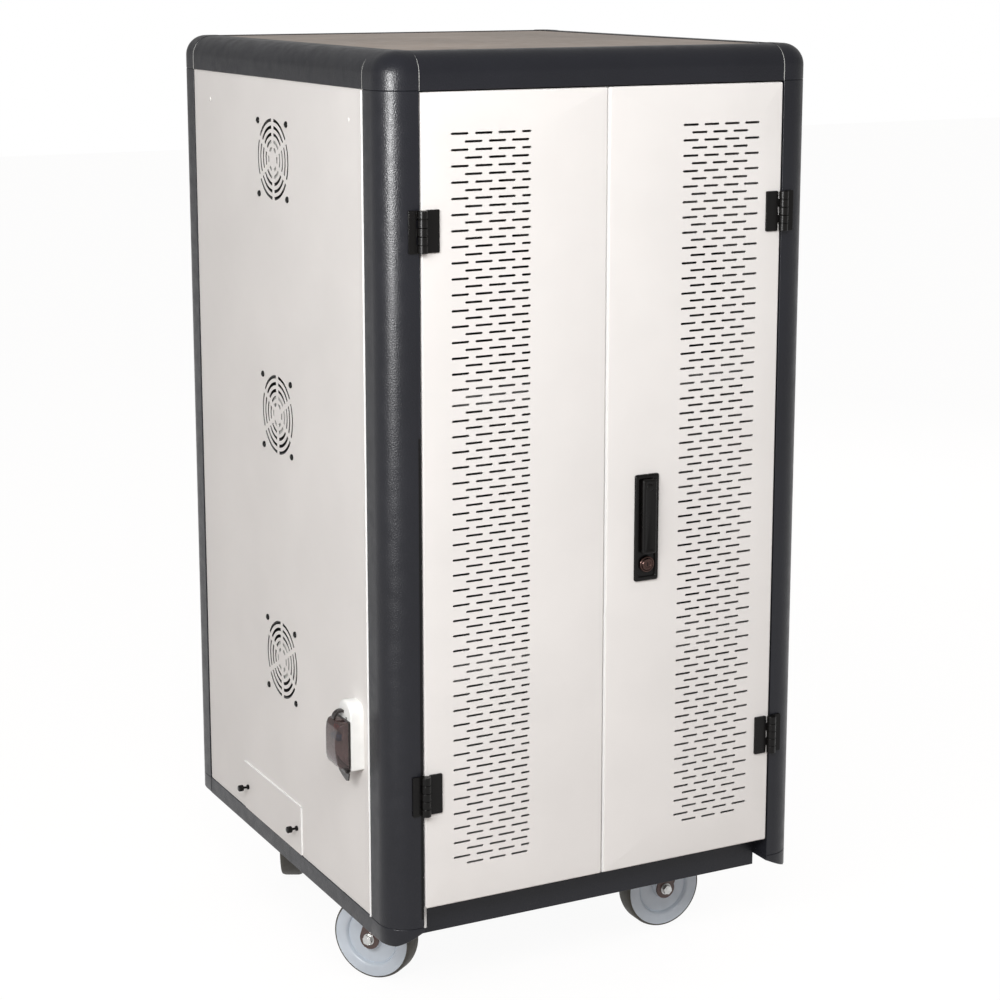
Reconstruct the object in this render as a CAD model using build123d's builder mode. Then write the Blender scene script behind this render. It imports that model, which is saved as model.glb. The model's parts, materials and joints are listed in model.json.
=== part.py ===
from build123d import *
import os
from math import cos, radians, sin, sqrt

os.makedirs("parts", exist_ok=True)

# Cabinet, outside
cab_width = 660.0
cab_depth = 756.0
rail_bottom_z = 129.0
tray_z = 155.0
panel_bottom_z = 165.0
panel_top_z = 1290.0
top_z = 1340.0
steel = 2.0
wall = 3.0

# How far fittings stand out of the cabinet on its left side and its front
breaker_reach = 46.0
front_reach = 13.0

# Corner posts and caps
corner_radius = 40.0
post_front = 50.0
post_side_front = 66.0
post_side_rear = 62.0
post_lip = 22.0
cap_height = tray_z - rail_bottom_z
cap_pocket = 14.0

# Rails
flange = 20.0
front_rail_setback = 36.0
front_rail_top_z = 185.0
top_edge_radius = 30.0
top_inset_front = 46.0
top_inset_side = 50.0
top_lip = 12.0
top_panel_drop = 1.5

# Sheet panels
panel_recess = 2.0
sheet = 1.5

# Doors
door_depth = 20.0
door_bottom_z = 181.0
door_gap = 2.0
middle_gap = 3.0
door_fold = 12.0
stop_width = 28.0

# Vent slots: where the slots of the wide and of the short rows start and end, from the cabinet's middle
slot_height = 3.2
slot_row_pitch = 31.5
slot_top_z = 1234.0
slot_rows = 32
slot_spans = {
    "left": (
        ((-235.0, -209.0), (-200.0, -174.0), (-166.0, -140.0), (-131.0, -117.0)),
        ((-215.0, -189.0), (-180.0, -154.0), (-146.0, -120.0)),
    ),
    "right": (
        ((117.0, 142.0), (150.5, 175.0), (183.5, 208.0), (216.5, 240.5)),
        ((131.0, 156.0), (164.5, 189.0), (197.5, 222.0)),
    ),
}

# Hinges
hinge_height = 56.0
hinge_upper_z = 1110.0
hinge_lower_z = 345.0
leaf_thickness = 3.0
leaf_width_frame = 11.0
leaf_width_door = 19.0
knuckle_radius = 6.5
hinge_pin_radius = 2.5
pin_clearance = 0.05
knuckle_count = 5
knuckle_gap = 0.5
leaf_relief = 0.6
leaf_chamfer = 1.5

# Swing handle lock on the right door
lock_x = 65.0
lock_bottom_z = 603.0
lock_width = 38.0
lock_height = 152.0
lock_plate = 4.0
spindle_z = 738.0
spindle_radius = 7.0
handle_width = 22.0
handle_length = 106.0
handle_thickness = 7.0
handle_lift = 0.6
key_z = 627.0
key_radius = 8.5
key_proud = 3.0
key_slot_width = 1.4
key_slot_length = 8.0
cam_length = 52.0
cam_width = 16.0
cam_thickness = 2.5
rod_width = 12.0
rod_thickness = 4.0
rod_gap = 0.4
rod_end_gap = 2.5
rod_tail = 10.0
guide_inset = 60.0
guide_height = 20.0
guide_wall = 2.0
guide_fit = 0.3

# Fans behind the left side panel
fan_size = 120.0
fan_depth = 25.0
fan_bore_radius = 56.0
fan_top_z = 1176.0
fan_pitch_z = 369.0
fan_count = 3
fan_y = 4.0
fan_screw_pitch = 105.0
fan_hub_radius = 20.0
fan_tip_radius = 54.0
fan_blades = 5
fan_spindle_radius = 3.0
fan_strut = 5.0
fan_hub_front = 2.0
fan_back = 3.0
blade_pitch = 28.0
blade_depth = 14.0
screw_head_radius = 4.0
screw_head_height = 2.2

# Grille slots in the side panel
grille_inner_radius = 15.5
grille_ring_pitch = 10.0
grille_rings = 5
grille_slot = 4.0
grille_spokes = 6
grille_spoke_width = 7.0

# Access panel low on the left side
access_front_y = -62.0
access_rear_y = 164.0
access_height = 66.0
access_hole_width = 120.0
access_hole_height = 34.0
thumb_inset = 15.0
thumb_z = 193.0
thumb_radius = 5.0
thumb_length = 14.0
thumb_neck_radius = 3.0
thumb_neck = 4.0

# Breaker enclosure on the left side
breaker_y = -269.0
breaker_bottom_z = 345.0
breaker_width = 42.0
breaker_height = 112.0
breaker_base_depth = 18.0
breaker_body_width = 30.0
breaker_body_height = 70.0
breaker_body_depth = 12.0
cover_height = 86.0
cover_wall = 1.8
cover_barrel_radius = 4.0
cover_pin_radius = 1.5
cover_gap = 0.4
toggle_width = 12.0
toggle_length = 10.0
toggle_radius = 5.0
toggle_thickness = 3.0
cover_chamfer = 1.2

# Castors
wheel_radius = 62.5
wheel_width = 32.0
hub_radius = 17.0
hub_width = 36.0
axle_radius = 6.0
axle_head_radius = 9.5
axle_head = 7.0
castor_x = 238.0
castor_y = 205.0
castor_trail = 38.0
fork_wall = 3.5
fork_gap = 0.6
fork_leg_width = 34.0
castor_plate_length = 105.0
castor_plate_width = 85.0
castor_plate = 4.0
castor_bolt_hole = 9.0
castor_hole_x = 80.0
castor_hole_y = 60.0
swivel_radius = 34.0
crown_height = 6.0
crown_shift = 8.0
fork_end_radius = 13.0
kingpin_radius = 8.0
kingpin_head = 4.0
bolt_neck = 8.4
bolt_head_radius = 7.5
bolt_head = 5.0
tread_round = 4.0
castor_angles = {"front_left": 126.0, "front_right": 180.0, "rear_left": 62.0, "rear_right": 100.0}

# Inner rack
upright_x = 30.0
upright_y = 20.0
upright_wall = 2.0
shelf_depth = 420.0
shelf_turn = 25.0
shelf_heights = (500.0, 880.0)
divider_count = 9
divider_height = 170.0
divider_depth = 300.0
divider_inset = 20.0
cable_slot = 40.0
strip_width = 380.0
strip_height = 50.0
strip_depth = 40.0
strip_rise = 60.0
strip_sockets = 5
socket_size = 38.0
socket_depth = 1.5

# Small fasteners
rivet_radius = 3.5
rivet_height = 1.2
rivet_z = 1248.0
rivet_front_y = -263.0
rivet_rear_y = 250.0

# Cabinet faces, with the origin under the middle of the whole outline
cab_x = breaker_reach / 2
cab_y = front_reach / 2
left = cab_x - cab_width / 2
right = cab_x + cab_width / 2
front = cab_y - cab_depth / 2
rear = cab_y + cab_depth / 2
panel_outer = left + panel_recess
panel_inner = panel_outer + sheet
corners = {
    "front_left": (left, front, 1, 1, post_side_front),
    "front_right": (right, front, -1, 1, post_side_front),
    "rear_left": (left, rear, 1, -1, post_side_rear),
    "rear_right": (right, rear, -1, -1, post_side_rear),
}
fan_heights = [fan_top_z - i * fan_pitch_z for i in range(fan_count)]


def save(part, name):
    part.label = name
    export_step(part, f"parts/{name}.step")


def block(x0, x1, y0, y1, z0, z1, mode=Mode.ADD):
    """A block between two corners, joined to or cut from the open part."""
    with Locations(((x0 + x1) / 2, (y0 + y1) / 2, (z0 + z1) / 2)):
        Box(abs(x1 - x0), abs(y1 - y0), abs(z1 - z0), mode=mode)


def corner_profile(corner, inset=0.0, lip=None):
    """Outline of a corner, quarter round outside; with a lip it is a thin open section."""
    cx, cy, sx, sy, side = corner
    radius = corner_radius - inset
    bend = corner_radius - radius / sqrt(2)

    def at(u, v):
        return (cx + sx * u, cy + sy * v)

    Line(at(inset, side - inset), at(inset, corner_radius))
    ThreePointArc(at(inset, corner_radius), at(bend, bend), at(corner_radius, inset))
    Line(at(corner_radius, inset), at(post_front - inset, inset))
    if lip is None:
        back = side - inset
        Polyline(at(post_front - inset, inset), at(post_front - inset, back), at(inset, back))
        return
    inner = corner_radius - wall
    inner_bend = corner_radius - inner / sqrt(2)
    Polyline(
        at(post_front, 0), at(post_front, lip), at(post_front - wall, lip),
        at(post_front - wall, wall), at(corner_radius, wall),
    )
    ThreePointArc(at(corner_radius, wall), at(inner_bend, inner_bend), at(wall, corner_radius))
    Polyline(
        at(wall, corner_radius), at(wall, side - wall), at(lip, side - wall), at(lip, side), at(0, side)
    )


# Corner posts: rolled quarter-round covers with folded lips, from the bottom cap to the top cap
for name, corner in corners.items():
    with BuildPart() as post:
        with BuildSketch(Plane.XY.offset(tray_z)):
            with BuildLine():
                corner_profile(corner, lip=post_lip)
            make_face()
        extrude(amount=panel_top_z - tray_z)
    save(post.part, f"post_{name}")

# Bottom caps: moulded corner shoes under the posts, hollow from below
with BuildPart() as bottom_caps:
    for corner in corners.values():
        with BuildSketch(Plane.XY.offset(rail_bottom_z)):
            with BuildLine():
                corner_profile(corner)
            make_face()
        extrude(amount=cap_height)
        with BuildSketch(Plane.XY.offset(rail_bottom_z)):
            with BuildLine():
                corner_profile(corner, inset=wall)
            make_face()
        extrude(amount=cap_pocket, mode=Mode.SUBTRACT)
save(bottom_caps.part, "bottom_corner_caps")


def domed_cap(corner):
    """A three-way corner, rounded like the two rails that meet it, hollow from below."""
    cx, cy = corner[:2]
    with BuildPart() as dome:
        with BuildSketch(Plane.XY.offset(panel_top_z)):
            with BuildLine():
                corner_profile(corner)
            make_face()
        extrude(amount=top_z - panel_top_z)
        rim = dome.edges().group_by(Axis.Z)[-1]
        outer = rim.filter_by(
            lambda e: min(abs(e.center().X - cx), abs(e.center().Y - cy)) < corner_radius / 2
        )
        fillet(outer, radius=top_edge_radius)
        with BuildSketch(Plane.XY.offset(panel_top_z)):
            with BuildLine():
                corner_profile(corner, inset=wall)
            make_face()
        extrude(amount=cap_pocket, mode=Mode.SUBTRACT)
    return dome.part


save(Part() + [domed_cap(corner) for corner in corners.values()], "top_corner_caps")


def top_rail(plane, length, inset):
    """A rounded top rail: outer wall, rolled edge, flat top and a lowered lip for the top panel."""
    height = top_z - panel_top_z
    inner = top_edge_radius - wall
    rise = height - top_edge_radius
    outer_mid = top_edge_radius * (1 - 1 / sqrt(2))
    inner_mid = top_edge_radius - inner / sqrt(2)
    seat = height - top_panel_drop - sheet
    with BuildPart() as rail:
        with BuildSketch(plane):
            with BuildLine():
                Line((0, 0), (0, rise))
                ThreePointArc((0, rise), (outer_mid, height - outer_mid), (top_edge_radius, height))
                Polyline(
                    (top_edge_radius, height), (inset, height), (inset, seat), (inset + top_lip, seat),
                    (inset + top_lip, seat - wall), (inset - wall, seat - wall),
                    (inset - wall, height - wall), (top_edge_radius, height - wall),
                )
                ThreePointArc(
                    (top_edge_radius, height - wall), (inner_mid, height - inner_mid), (wall, rise)
                )
                Polyline((wall, rise), (wall, wall), (flange, wall), (flange, 0), (0, 0))
            make_face()
        extrude(amount=length)
    return rail.part


side_run = cab_depth - post_side_front - post_side_rear
end_run = cab_width - 2 * post_front
side_low_y = front + post_side_front


def rail_plane(edge, z):
    """Section plane of a rail at height z, X pointing into the cabinet, at the end it starts from."""
    return {
        "left": Plane((left, rear - post_side_rear, z), (1, 0, 0), (0, -1, 0)),
        "right": Plane((right, side_low_y, z), (-1, 0, 0), (0, 1, 0)),
        "front": Plane((left + post_front, front, z), (0, 1, 0), (1, 0, 0)),
        "rear": Plane((right - post_front, rear, z), (0, -1, 0), (-1, 0, 0)),
    }[edge]


top_sides = [top_rail(rail_plane(edge, panel_top_z), side_run, top_inset_side) for edge in ("left", "right")]
save(Part() + top_sides, "top_side_rails")
for edge in ("front", "rear"):
    save(top_rail(rail_plane(edge, panel_top_z), end_run, top_inset_front), f"top_{edge}_rail")


def low_rail(plane, length, height):
    """A bottom rail: upright web with a folded flange that the base tray rests on."""
    ledge = tray_z - rail_bottom_z
    with BuildPart() as rail:
        with BuildSketch(plane):
            with BuildLine():
                Polyline(
                    (0, 0), (0, height), (wall, height), (wall, ledge), (flange + wall, ledge),
                    (flange + wall, ledge - wall), (wall, ledge - wall), (wall, 0), (0, 0),
                )
            make_face()
        extrude(amount=length)
    return rail.part


low_height = panel_bottom_z - rail_bottom_z
low_sides = [low_rail(rail_plane(edge, rail_bottom_z), side_run, low_height) for edge in ("left", "right")]
save(Part() + low_sides, "bottom_side_rails")
save(low_rail(rail_plane("rear", rail_bottom_z), end_run, low_height), "bottom_rear_rail")
set_back = Plane((left + post_front, front + front_rail_setback, rail_bottom_z), (0, 1, 0), (1, 0, 0))
save(low_rail(set_back, end_run, front_rail_top_z - rail_bottom_z), "bottom_front_rail")

# Base tray on the rail flanges, carrying the castors and the inner rack
tray_front = front + front_rail_setback + wall
with BuildPart() as tray:
    block(left + wall, right - wall, tray_front, rear - wall, tray_z, tray_z + steel)
    for cx, cy, sx, sy, side in corners.values():
        block(
            cx, cx + sx * post_front, cy, cy + sy * side, tray_z, tray_z + steel, mode=Mode.SUBTRACT
        )
    with Locations((cab_x, cab_y, tray_z)):
        with GridLocations(2 * castor_x, 2 * castor_y, 2, 2):
            with GridLocations(castor_hole_x, castor_hole_y, 2, 2):
                Box(castor_bolt_hole, castor_bolt_hole, 3 * steel, mode=Mode.SUBTRACT)
save(tray.part, "base_tray")

# Top panel in the lowered lips of the top rails
with BuildPart() as top_panel:
    block(
        left + top_inset_side, right - top_inset_side, front + top_inset_front, rear - top_inset_front,
        top_z - top_panel_drop - sheet, top_z - top_panel_drop,
    )
    fillet(top_panel.edges().filter_by(Axis.Z), radius=2 * wall)
save(top_panel.part, "top_panel")


def grille_ring(radius):
    """One ring of slots: an annulus cut by the spokes, drawn in the sketch that is open."""
    Circle(radius + grille_slot / 2)
    Circle(radius - grille_slot / 2, mode=Mode.SUBTRACT)
    with PolarLocations(0, grille_spokes // 2, angular_range=180):
        Rectangle(grille_spoke_width, 3 * radius, mode=Mode.SUBTRACT)


def side_sheet(face_x, step):
    """A flat side panel seated against the lips of the posts."""
    outer = face_x + step * panel_recess
    inner = outer + step * sheet
    block(outer, inner, side_low_y, rear - post_side_rear, panel_bottom_z, panel_top_z)


screw_spots = [(fan_y + a * fan_screw_pitch / 2, z + b * fan_screw_pitch / 2)
               for z in fan_heights for a in (-1, 1) for b in (-1, 1)]
access_mid = (access_front_y + access_rear_y) / 2
with BuildPart() as left_panel:
    side_sheet(left, 1)
    for z in fan_heights:
        with BuildSketch(Plane((panel_outer, cab_y + fan_y, z), (0, 1, 0), (1, 0, 0))):
            for i in range(grille_rings):
                grille_ring(grille_inner_radius + i * grille_ring_pitch)
        extrude(amount=sheet, mode=Mode.SUBTRACT)
    with BuildSketch(Plane((panel_outer, cab_y, 0), (0, 1, 0), (1, 0, 0))):
        with Locations((access_mid, panel_bottom_z + access_height / 2)):
            Rectangle(access_hole_width, access_hole_height)
        with Locations((access_front_y + thumb_inset, thumb_z), (access_rear_y - thumb_inset, thumb_z)):
            Circle(thumb_neck_radius)
    extrude(amount=sheet, mode=Mode.SUBTRACT)
save(left_panel.part, "left_side_panel")

with BuildPart() as right_panel:
    side_sheet(right, -1)
save(right_panel.part, "right_side_panel")

with BuildPart() as rear_panel:
    block(
        left + post_front, right - post_front, rear - panel_recess - sheet, rear - panel_recess,
        panel_bottom_z, panel_top_z,
    )
save(rear_panel.part, "rear_panel")

# Access panel over the cable opening, with its two thumbscrews
with BuildPart() as access_panel:
    block(
        panel_outer - sheet, panel_outer, cab_y + access_front_y, cab_y + access_rear_y,
        panel_bottom_z, panel_bottom_z + access_height,
    )
    with BuildSketch(Plane((panel_outer, cab_y, 0), (0, 1, 0), (1, 0, 0))):
        with Locations((access_front_y + thumb_inset, thumb_z), (access_rear_y - thumb_inset, thumb_z)):
            Circle(thumb_neck_radius)
    extrude(amount=-sheet, mode=Mode.SUBTRACT)
save(access_panel.part, "access_panel")

with BuildPart() as thumbscrews:
    for y in (access_front_y + thumb_inset, access_rear_y - thumb_inset):
        with BuildSketch(Plane((panel_outer - sheet, cab_y + y, thumb_z), (0, 1, 0), (-1, 0, 0))):
            Circle(thumb_neck_radius)
        extrude(amount=thumb_neck)
        knob = panel_outer - sheet - thumb_neck
        with BuildSketch(Plane((knob, cab_y + y, thumb_z), (0, 1, 0), (-1, 0, 0))):
            Circle(thumb_radius)
        extrude(amount=thumb_length - thumb_neck)
save(thumbscrews.part, "thumbscrews")

# Door stop: a flat ring behind the doors, seated on the lips of the front posts and folded to the rail
stop_y = front + post_lip
stop_left = left + post_front - wall
stop_right = right - post_front + wall
with BuildPart() as door_stop:
    block(stop_left, stop_right, stop_y, stop_y + steel, front_rail_top_z, panel_top_z)
    block(
        stop_left + stop_width, stop_right - stop_width, stop_y, stop_y + steel,
        front_rail_top_z + stop_width, panel_top_z - stop_width, mode=Mode.SUBTRACT,
    )
    block(
        left + post_front, right - post_front, stop_y, front + front_rail_setback + wall,
        front_rail_top_z, front_rail_top_z + steel,
    )
save(door_stop.part, "door_stop")

door_top_z = panel_top_z - door_gap
door_left_x = left + post_front + door_gap
door_right_x = right - post_front - door_gap
lock_mid_z = lock_bottom_z + lock_height / 2


def slot_column(side):
    """Staggered rows of vent slots: four in the wide rows, then three between them."""
    for row in range(slot_rows):
        for x0, x1 in slot_spans[side][row % 2]:
            with Locations((cab_x + (x0 + x1) / 2, slot_top_z - row * slot_row_pitch)):
                Rectangle(x1 - x0, slot_height)


front_plane = Plane((0, front, 0), (1, 0, 0), (0, -1, 0))
lock_at = cab_x + lock_x


def door_pan(x0, x1, side, holes=()):
    """A folded door: slotted face, four side folds and a return lip all round the back."""
    z0, z1 = door_bottom_z, door_top_z
    back = front + door_depth
    with BuildPart() as door:
        block(x0, x1, front, back, z0, z1)
        block(
            x0 + sheet, x1 - sheet, front + sheet, back - sheet, z0 + sheet, z1 - sheet, mode=Mode.SUBTRACT
        )
        block(
            x0 + door_fold, x1 - door_fold, back - sheet, back, z0 + door_fold, z1 - door_fold,
            mode=Mode.SUBTRACT,
        )
        with BuildSketch(front_plane):
            slot_column(side)
            for z, radius in holes:
                with Locations((lock_at, z)):
                    Circle(radius)
        extrude(amount=-sheet, mode=Mode.SUBTRACT)
    return door.part


lock_holes = ((spindle_z, spindle_radius + pin_clearance), (key_z, key_radius + pin_clearance))
save(door_pan(door_left_x, cab_x - middle_gap / 2, "left"), "left_door")
save(door_pan(cab_x + middle_gap / 2, door_right_x, "right", lock_holes), "right_door")

# Hinges: thick chamfered leaves with five knuckles on one pin
hinge_spots = {
    "left": (left + post_front + door_gap / 2, 1),
    "right": (right - post_front - door_gap / 2, -1),
}
hinge_heights = (hinge_upper_z, hinge_lower_z)
hinge_y = front - knuckle_radius
knuckle_height = hinge_height / knuckle_count


def hinge_leaf(x, step, mid_z, width, own):
    """One leaf beside the pin, with the knuckles named in own."""
    reach = knuckle_radius + leaf_relief
    low = mid_z - hinge_height / 2
    with BuildPart() as leaf:
        block(
            x + step * reach, x + step * (reach + width), front - leaf_thickness, front,
            low, low + hinge_height,
        )
        outer = leaf.edges().filter_by(Axis.Z).group_by(Axis.Y)[0].sort_by(Axis.X)
        chamfer(outer[-1] if step > 0 else outer[0], length=leaf_chamfer)
        for i in own:
            z0 = low + i * knuckle_height + knuckle_gap / 2
            z1 = z0 + knuckle_height - knuckle_gap
            block(x, x + step * reach, front - leaf_thickness, front, z0, z1)
            with BuildSketch(Plane((x, hinge_y, z0))):
                Circle(knuckle_radius)
            extrude(amount=z1 - z0)
            with BuildSketch(Plane((x, hinge_y, z0))):
                Circle(hinge_pin_radius + pin_clearance)
            extrude(amount=z1 - z0, mode=Mode.SUBTRACT)
    return leaf.part


save(
    Part() + [
        hinge_leaf(x, -step, z, leaf_width_frame, range(0, knuckle_count, 2))
        for x, step in hinge_spots.values() for z in hinge_heights
    ],
    "hinge_frame_leaves",
)
own = range(1, knuckle_count, 2)
for name, (x, step) in hinge_spots.items():
    door_leaves = [hinge_leaf(x, step, z, leaf_width_door, own) for z in hinge_heights]
    save(Part() + door_leaves, f"hinge_leaves_{name}_door")

with BuildPart() as hinge_pins:
    for x, step in hinge_spots.values():
        for z in hinge_heights:
            with BuildSketch(Plane((x, hinge_y, z - hinge_height / 2))):
                Circle(hinge_pin_radius)
            extrude(amount=hinge_height)
save(hinge_pins.part, "hinge_pins")

# Swing handle lock: plate, spindle with cam, handle, key cylinder and two locking rods
plate_front = front - lock_plate
with BuildPart() as lock_body:
    with BuildSketch(front_plane):
        with Locations((lock_at, lock_mid_z)):
            RectangleRounded(lock_width, lock_height, wall)
        for z, radius in lock_holes:
            with Locations((lock_at, z)):
                Circle(radius, mode=Mode.SUBTRACT)
    extrude(amount=lock_plate)
    chamfer(lock_body.faces().sort_by(Axis.Y)[0].outer_wire().edges(), length=steel)
save(lock_body.part, "lock_plate")

handle_back = plate_front - handle_lift
cam_front = front + sheet + steel
with BuildPart() as spindle:
    with BuildSketch(Plane((lock_at, handle_back, spindle_z), (1, 0, 0), (0, 1, 0))):
        Circle(spindle_radius)
    extrude(amount=cam_front + cam_thickness - handle_back)
    with BuildSketch(Plane((lock_at, cam_front, spindle_z), (1, 0, 0), (0, 1, 0))):
        SlotOverall(cam_length, cam_width)
    extrude(amount=cam_thickness)
save(spindle.part, "lock_spindle")

with BuildPart() as handle:
    with BuildSketch(Plane((lock_at, handle_back, spindle_z), (1, 0, 0), (0, -1, 0))):
        with Locations((0, handle_width / 2 - handle_length / 2)):
            RectangleRounded(handle_width, handle_length, wall)
    extrude(amount=handle_thickness)
    chamfer(handle.faces().sort_by(Axis.Y)[0].outer_wire().edges(), length=steel)
save(handle.part, "lock_handle")

with BuildPart() as key_cylinder:
    with BuildSketch(Plane((lock_at, front + sheet + steel, key_z), (1, 0, 0), (0, -1, 0))):
        Circle(key_radius - pin_clearance)
    extrude(amount=sheet + steel + lock_plate + key_proud)
    with BuildSketch(Plane((lock_at, plate_front - key_proud, key_z), (1, 0, 0), (0, -1, 0))):
        Rectangle(key_slot_width, key_slot_length)
    extrude(amount=-key_proud, mode=Mode.SUBTRACT)
save(key_cylinder.part, "key_cylinder")

# Locking rods: flat bars behind the cam's two ends, sliding in guides on the door's back
rod_front = cam_front + cam_thickness + rod_gap
rod_back = rod_front + rod_thickness
rod_offset = cam_length / 2 - cam_width / 2
rods = {
    "upper": (lock_at - rod_offset, spindle_z - rod_tail, door_top_z - rod_end_gap),
    "lower": (lock_at + rod_offset, door_bottom_z + rod_end_gap, spindle_z + rod_tail),
}
for name, (x, z0, z1) in rods.items():
    with BuildPart() as rod:
        block(x - rod_width / 2, x + rod_width / 2, rod_front, rod_back, z0, z1)
    save(rod.part, f"lock_rod_{name}")

guide_reach = rod_width / 2 + guide_fit
with BuildPart() as guides:
    for x, z0, z1 in rods.values():
        for z in (z0 + guide_inset, z1 - guide_inset):
            block(
                x - guide_reach - guide_wall, x + guide_reach + guide_wall,
                front + sheet, rod_back + guide_fit + guide_wall,
                z - guide_height / 2, z + guide_height / 2,
            )
            block(
                x - guide_reach, x + guide_reach, rod_front - guide_fit, rod_back + guide_fit,
                z - guide_height / 2, z + guide_height / 2, mode=Mode.SUBTRACT,
            )
save(guides.part, "lock_rod_guides")


def fan_plane(z, depth):
    """Plane across the fan at height z, facing into the cabinet, depth behind the panel."""
    return Plane((panel_inner + depth, cab_y + fan_y, z), (0, 1, 0), (1, 0, 0))


# Fan frames: square housings with a round duct, four struts and a bearing disc at the back
with BuildPart() as fan_frames:
    for z in fan_heights:
        with BuildSketch(fan_plane(z, 0)):
            Rectangle(fan_size, fan_size)
            Circle(fan_bore_radius, mode=Mode.SUBTRACT)
        extrude(amount=fan_depth)
        with BuildSketch(fan_plane(z, fan_depth - fan_back)):
            Circle(fan_hub_radius)
            with PolarLocations(0, 2, angular_range=90):
                Rectangle(2 * fan_bore_radius + fan_strut, fan_strut)
            Circle(fan_spindle_radius + pin_clearance, mode=Mode.SUBTRACT)
        extrude(amount=fan_back)
save(fan_frames.part, "fan_frames")

# Impellers: hub, spindle and pitched blades, one body for each fan
hub_low = fan_hub_front
hub_high = fan_depth - fan_back - cover_gap
for i, z in enumerate(fan_heights):
    with BuildPart() as impeller:
        with BuildSketch(fan_plane(z, hub_low)):
            Circle(fan_hub_radius)
        extrude(amount=hub_high - hub_low)
        with BuildSketch(fan_plane(z, hub_high)):
            Circle(fan_spindle_radius)
        extrude(amount=fan_depth - hub_high)
        span = fan_tip_radius - fan_hub_radius + wall
        with Locations(fan_plane(z, (hub_low + hub_high) / 2)):
            with PolarLocations(fan_tip_radius - span / 2, fan_blades):
                Box(span, sheet, blade_depth, rotation=(blade_pitch, 0, 0))
    save(impeller.part, f"fan_impeller_{i + 1}")

# Heads of the screws that hold the fans
with BuildPart() as fan_screws:
    with BuildSketch(Plane((panel_outer, cab_y, 0), (0, 1, 0), (-1, 0, 0))):
        with Locations(*[(y, -z) for y, z in screw_spots]):
            Circle(screw_head_radius)
    extrude(amount=screw_head_height)
save(fan_screws.part, "fan_screws")

# Breaker enclosure: base, breaker, toggle and a clear cover hinged along its lower edge
breaker_face = left - breaker_base_depth
breaker_low = cab_y + breaker_y - breaker_width / 2
breaker_high = breaker_low + breaker_width
breaker_mid = cab_y + breaker_y
breaker_top_z = breaker_bottom_z + breaker_height
cover_top_z = breaker_top_z - wall
cover_bottom_z = cover_top_z - cover_height
barrel_x = breaker_face - cover_barrel_radius - cover_gap
barrel_z = cover_bottom_z - cover_barrel_radius - cover_gap
ear = breaker_width / 4


def barrel(y0, y1, radius, mode=Mode.ADD):
    """A hinge barrel or its bore along Y on the cover's axis."""
    with Locations(Location((barrel_x, (y0 + y1) / 2, barrel_z), (90, 0, 0))):
        Cylinder(radius, y1 - y0, mode=mode)


with BuildPart() as breaker_base:
    block(breaker_face, panel_outer, breaker_low, breaker_high, breaker_bottom_z, breaker_top_z)
    chamfer(breaker_base.faces().sort_by(Axis.X)[0].outer_wire().edges(), length=steel)
    ear_low = breaker_low + ear + cover_gap
    ear_high = breaker_high - ear - cover_gap
    block(barrel_x, breaker_face + wall, ear_low, ear_high, barrel_z - steel, barrel_z + steel)
    barrel(ear_low, ear_high, cover_barrel_radius)
    barrel(breaker_low, breaker_high, cover_pin_radius + pin_clearance, mode=Mode.SUBTRACT)
save(breaker_base.part, "breaker_base")

body_front = breaker_face - breaker_body_depth
body_mid_z = (cover_bottom_z + cover_top_z) / 2
with BuildPart() as breaker_body:
    with Locations(((body_front + breaker_face) / 2, breaker_mid, body_mid_z)):
        Box(breaker_body_depth, breaker_body_width, breaker_body_height)
    with Locations(Location((body_front, breaker_mid, body_mid_z), (90, 0, 0))):
        Cylinder(toggle_radius + rod_gap, toggle_width + 2 * rod_gap, mode=Mode.SUBTRACT)
save(breaker_body.part, "breaker_body")

with BuildPart() as toggle:
    with Locations(Location((body_front, breaker_mid, body_mid_z), (90, 0, 0))):
        Cylinder(toggle_radius, toggle_width)
    with Locations((body_front - toggle_length / 2, breaker_mid, body_mid_z + toggle_thickness / 2)):
        Box(toggle_length, toggle_width, toggle_thickness)
save(toggle.part, "breaker_toggle")

cover_face = left - breaker_reach
with BuildPart() as cover:
    block(cover_face, breaker_face - cover_gap, breaker_low, breaker_high, cover_bottom_z, cover_top_z)
    chamfer(cover.faces().sort_by(Axis.X)[0].edges(), length=cover_chamfer)
    block(
        cover_face + cover_wall, breaker_face, breaker_low + cover_wall, breaker_high - cover_wall,
        cover_bottom_z + cover_wall, cover_top_z - cover_wall, mode=Mode.SUBTRACT,
    )
    for y0, y1 in ((breaker_low, breaker_low + ear), (breaker_high - ear, breaker_high)):
        block(barrel_x - steel, barrel_x + steel, y0, y1, barrel_z, cover_bottom_z + cover_wall)
        barrel(y0, y1, cover_barrel_radius)
    barrel(breaker_low, breaker_high, cover_pin_radius + pin_clearance, mode=Mode.SUBTRACT)
save(cover.part, "breaker_cover")

with BuildPart() as cover_pin:
    barrel(breaker_low, breaker_high, cover_pin_radius)
save(cover_pin.part, "breaker_cover_pin")

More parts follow.
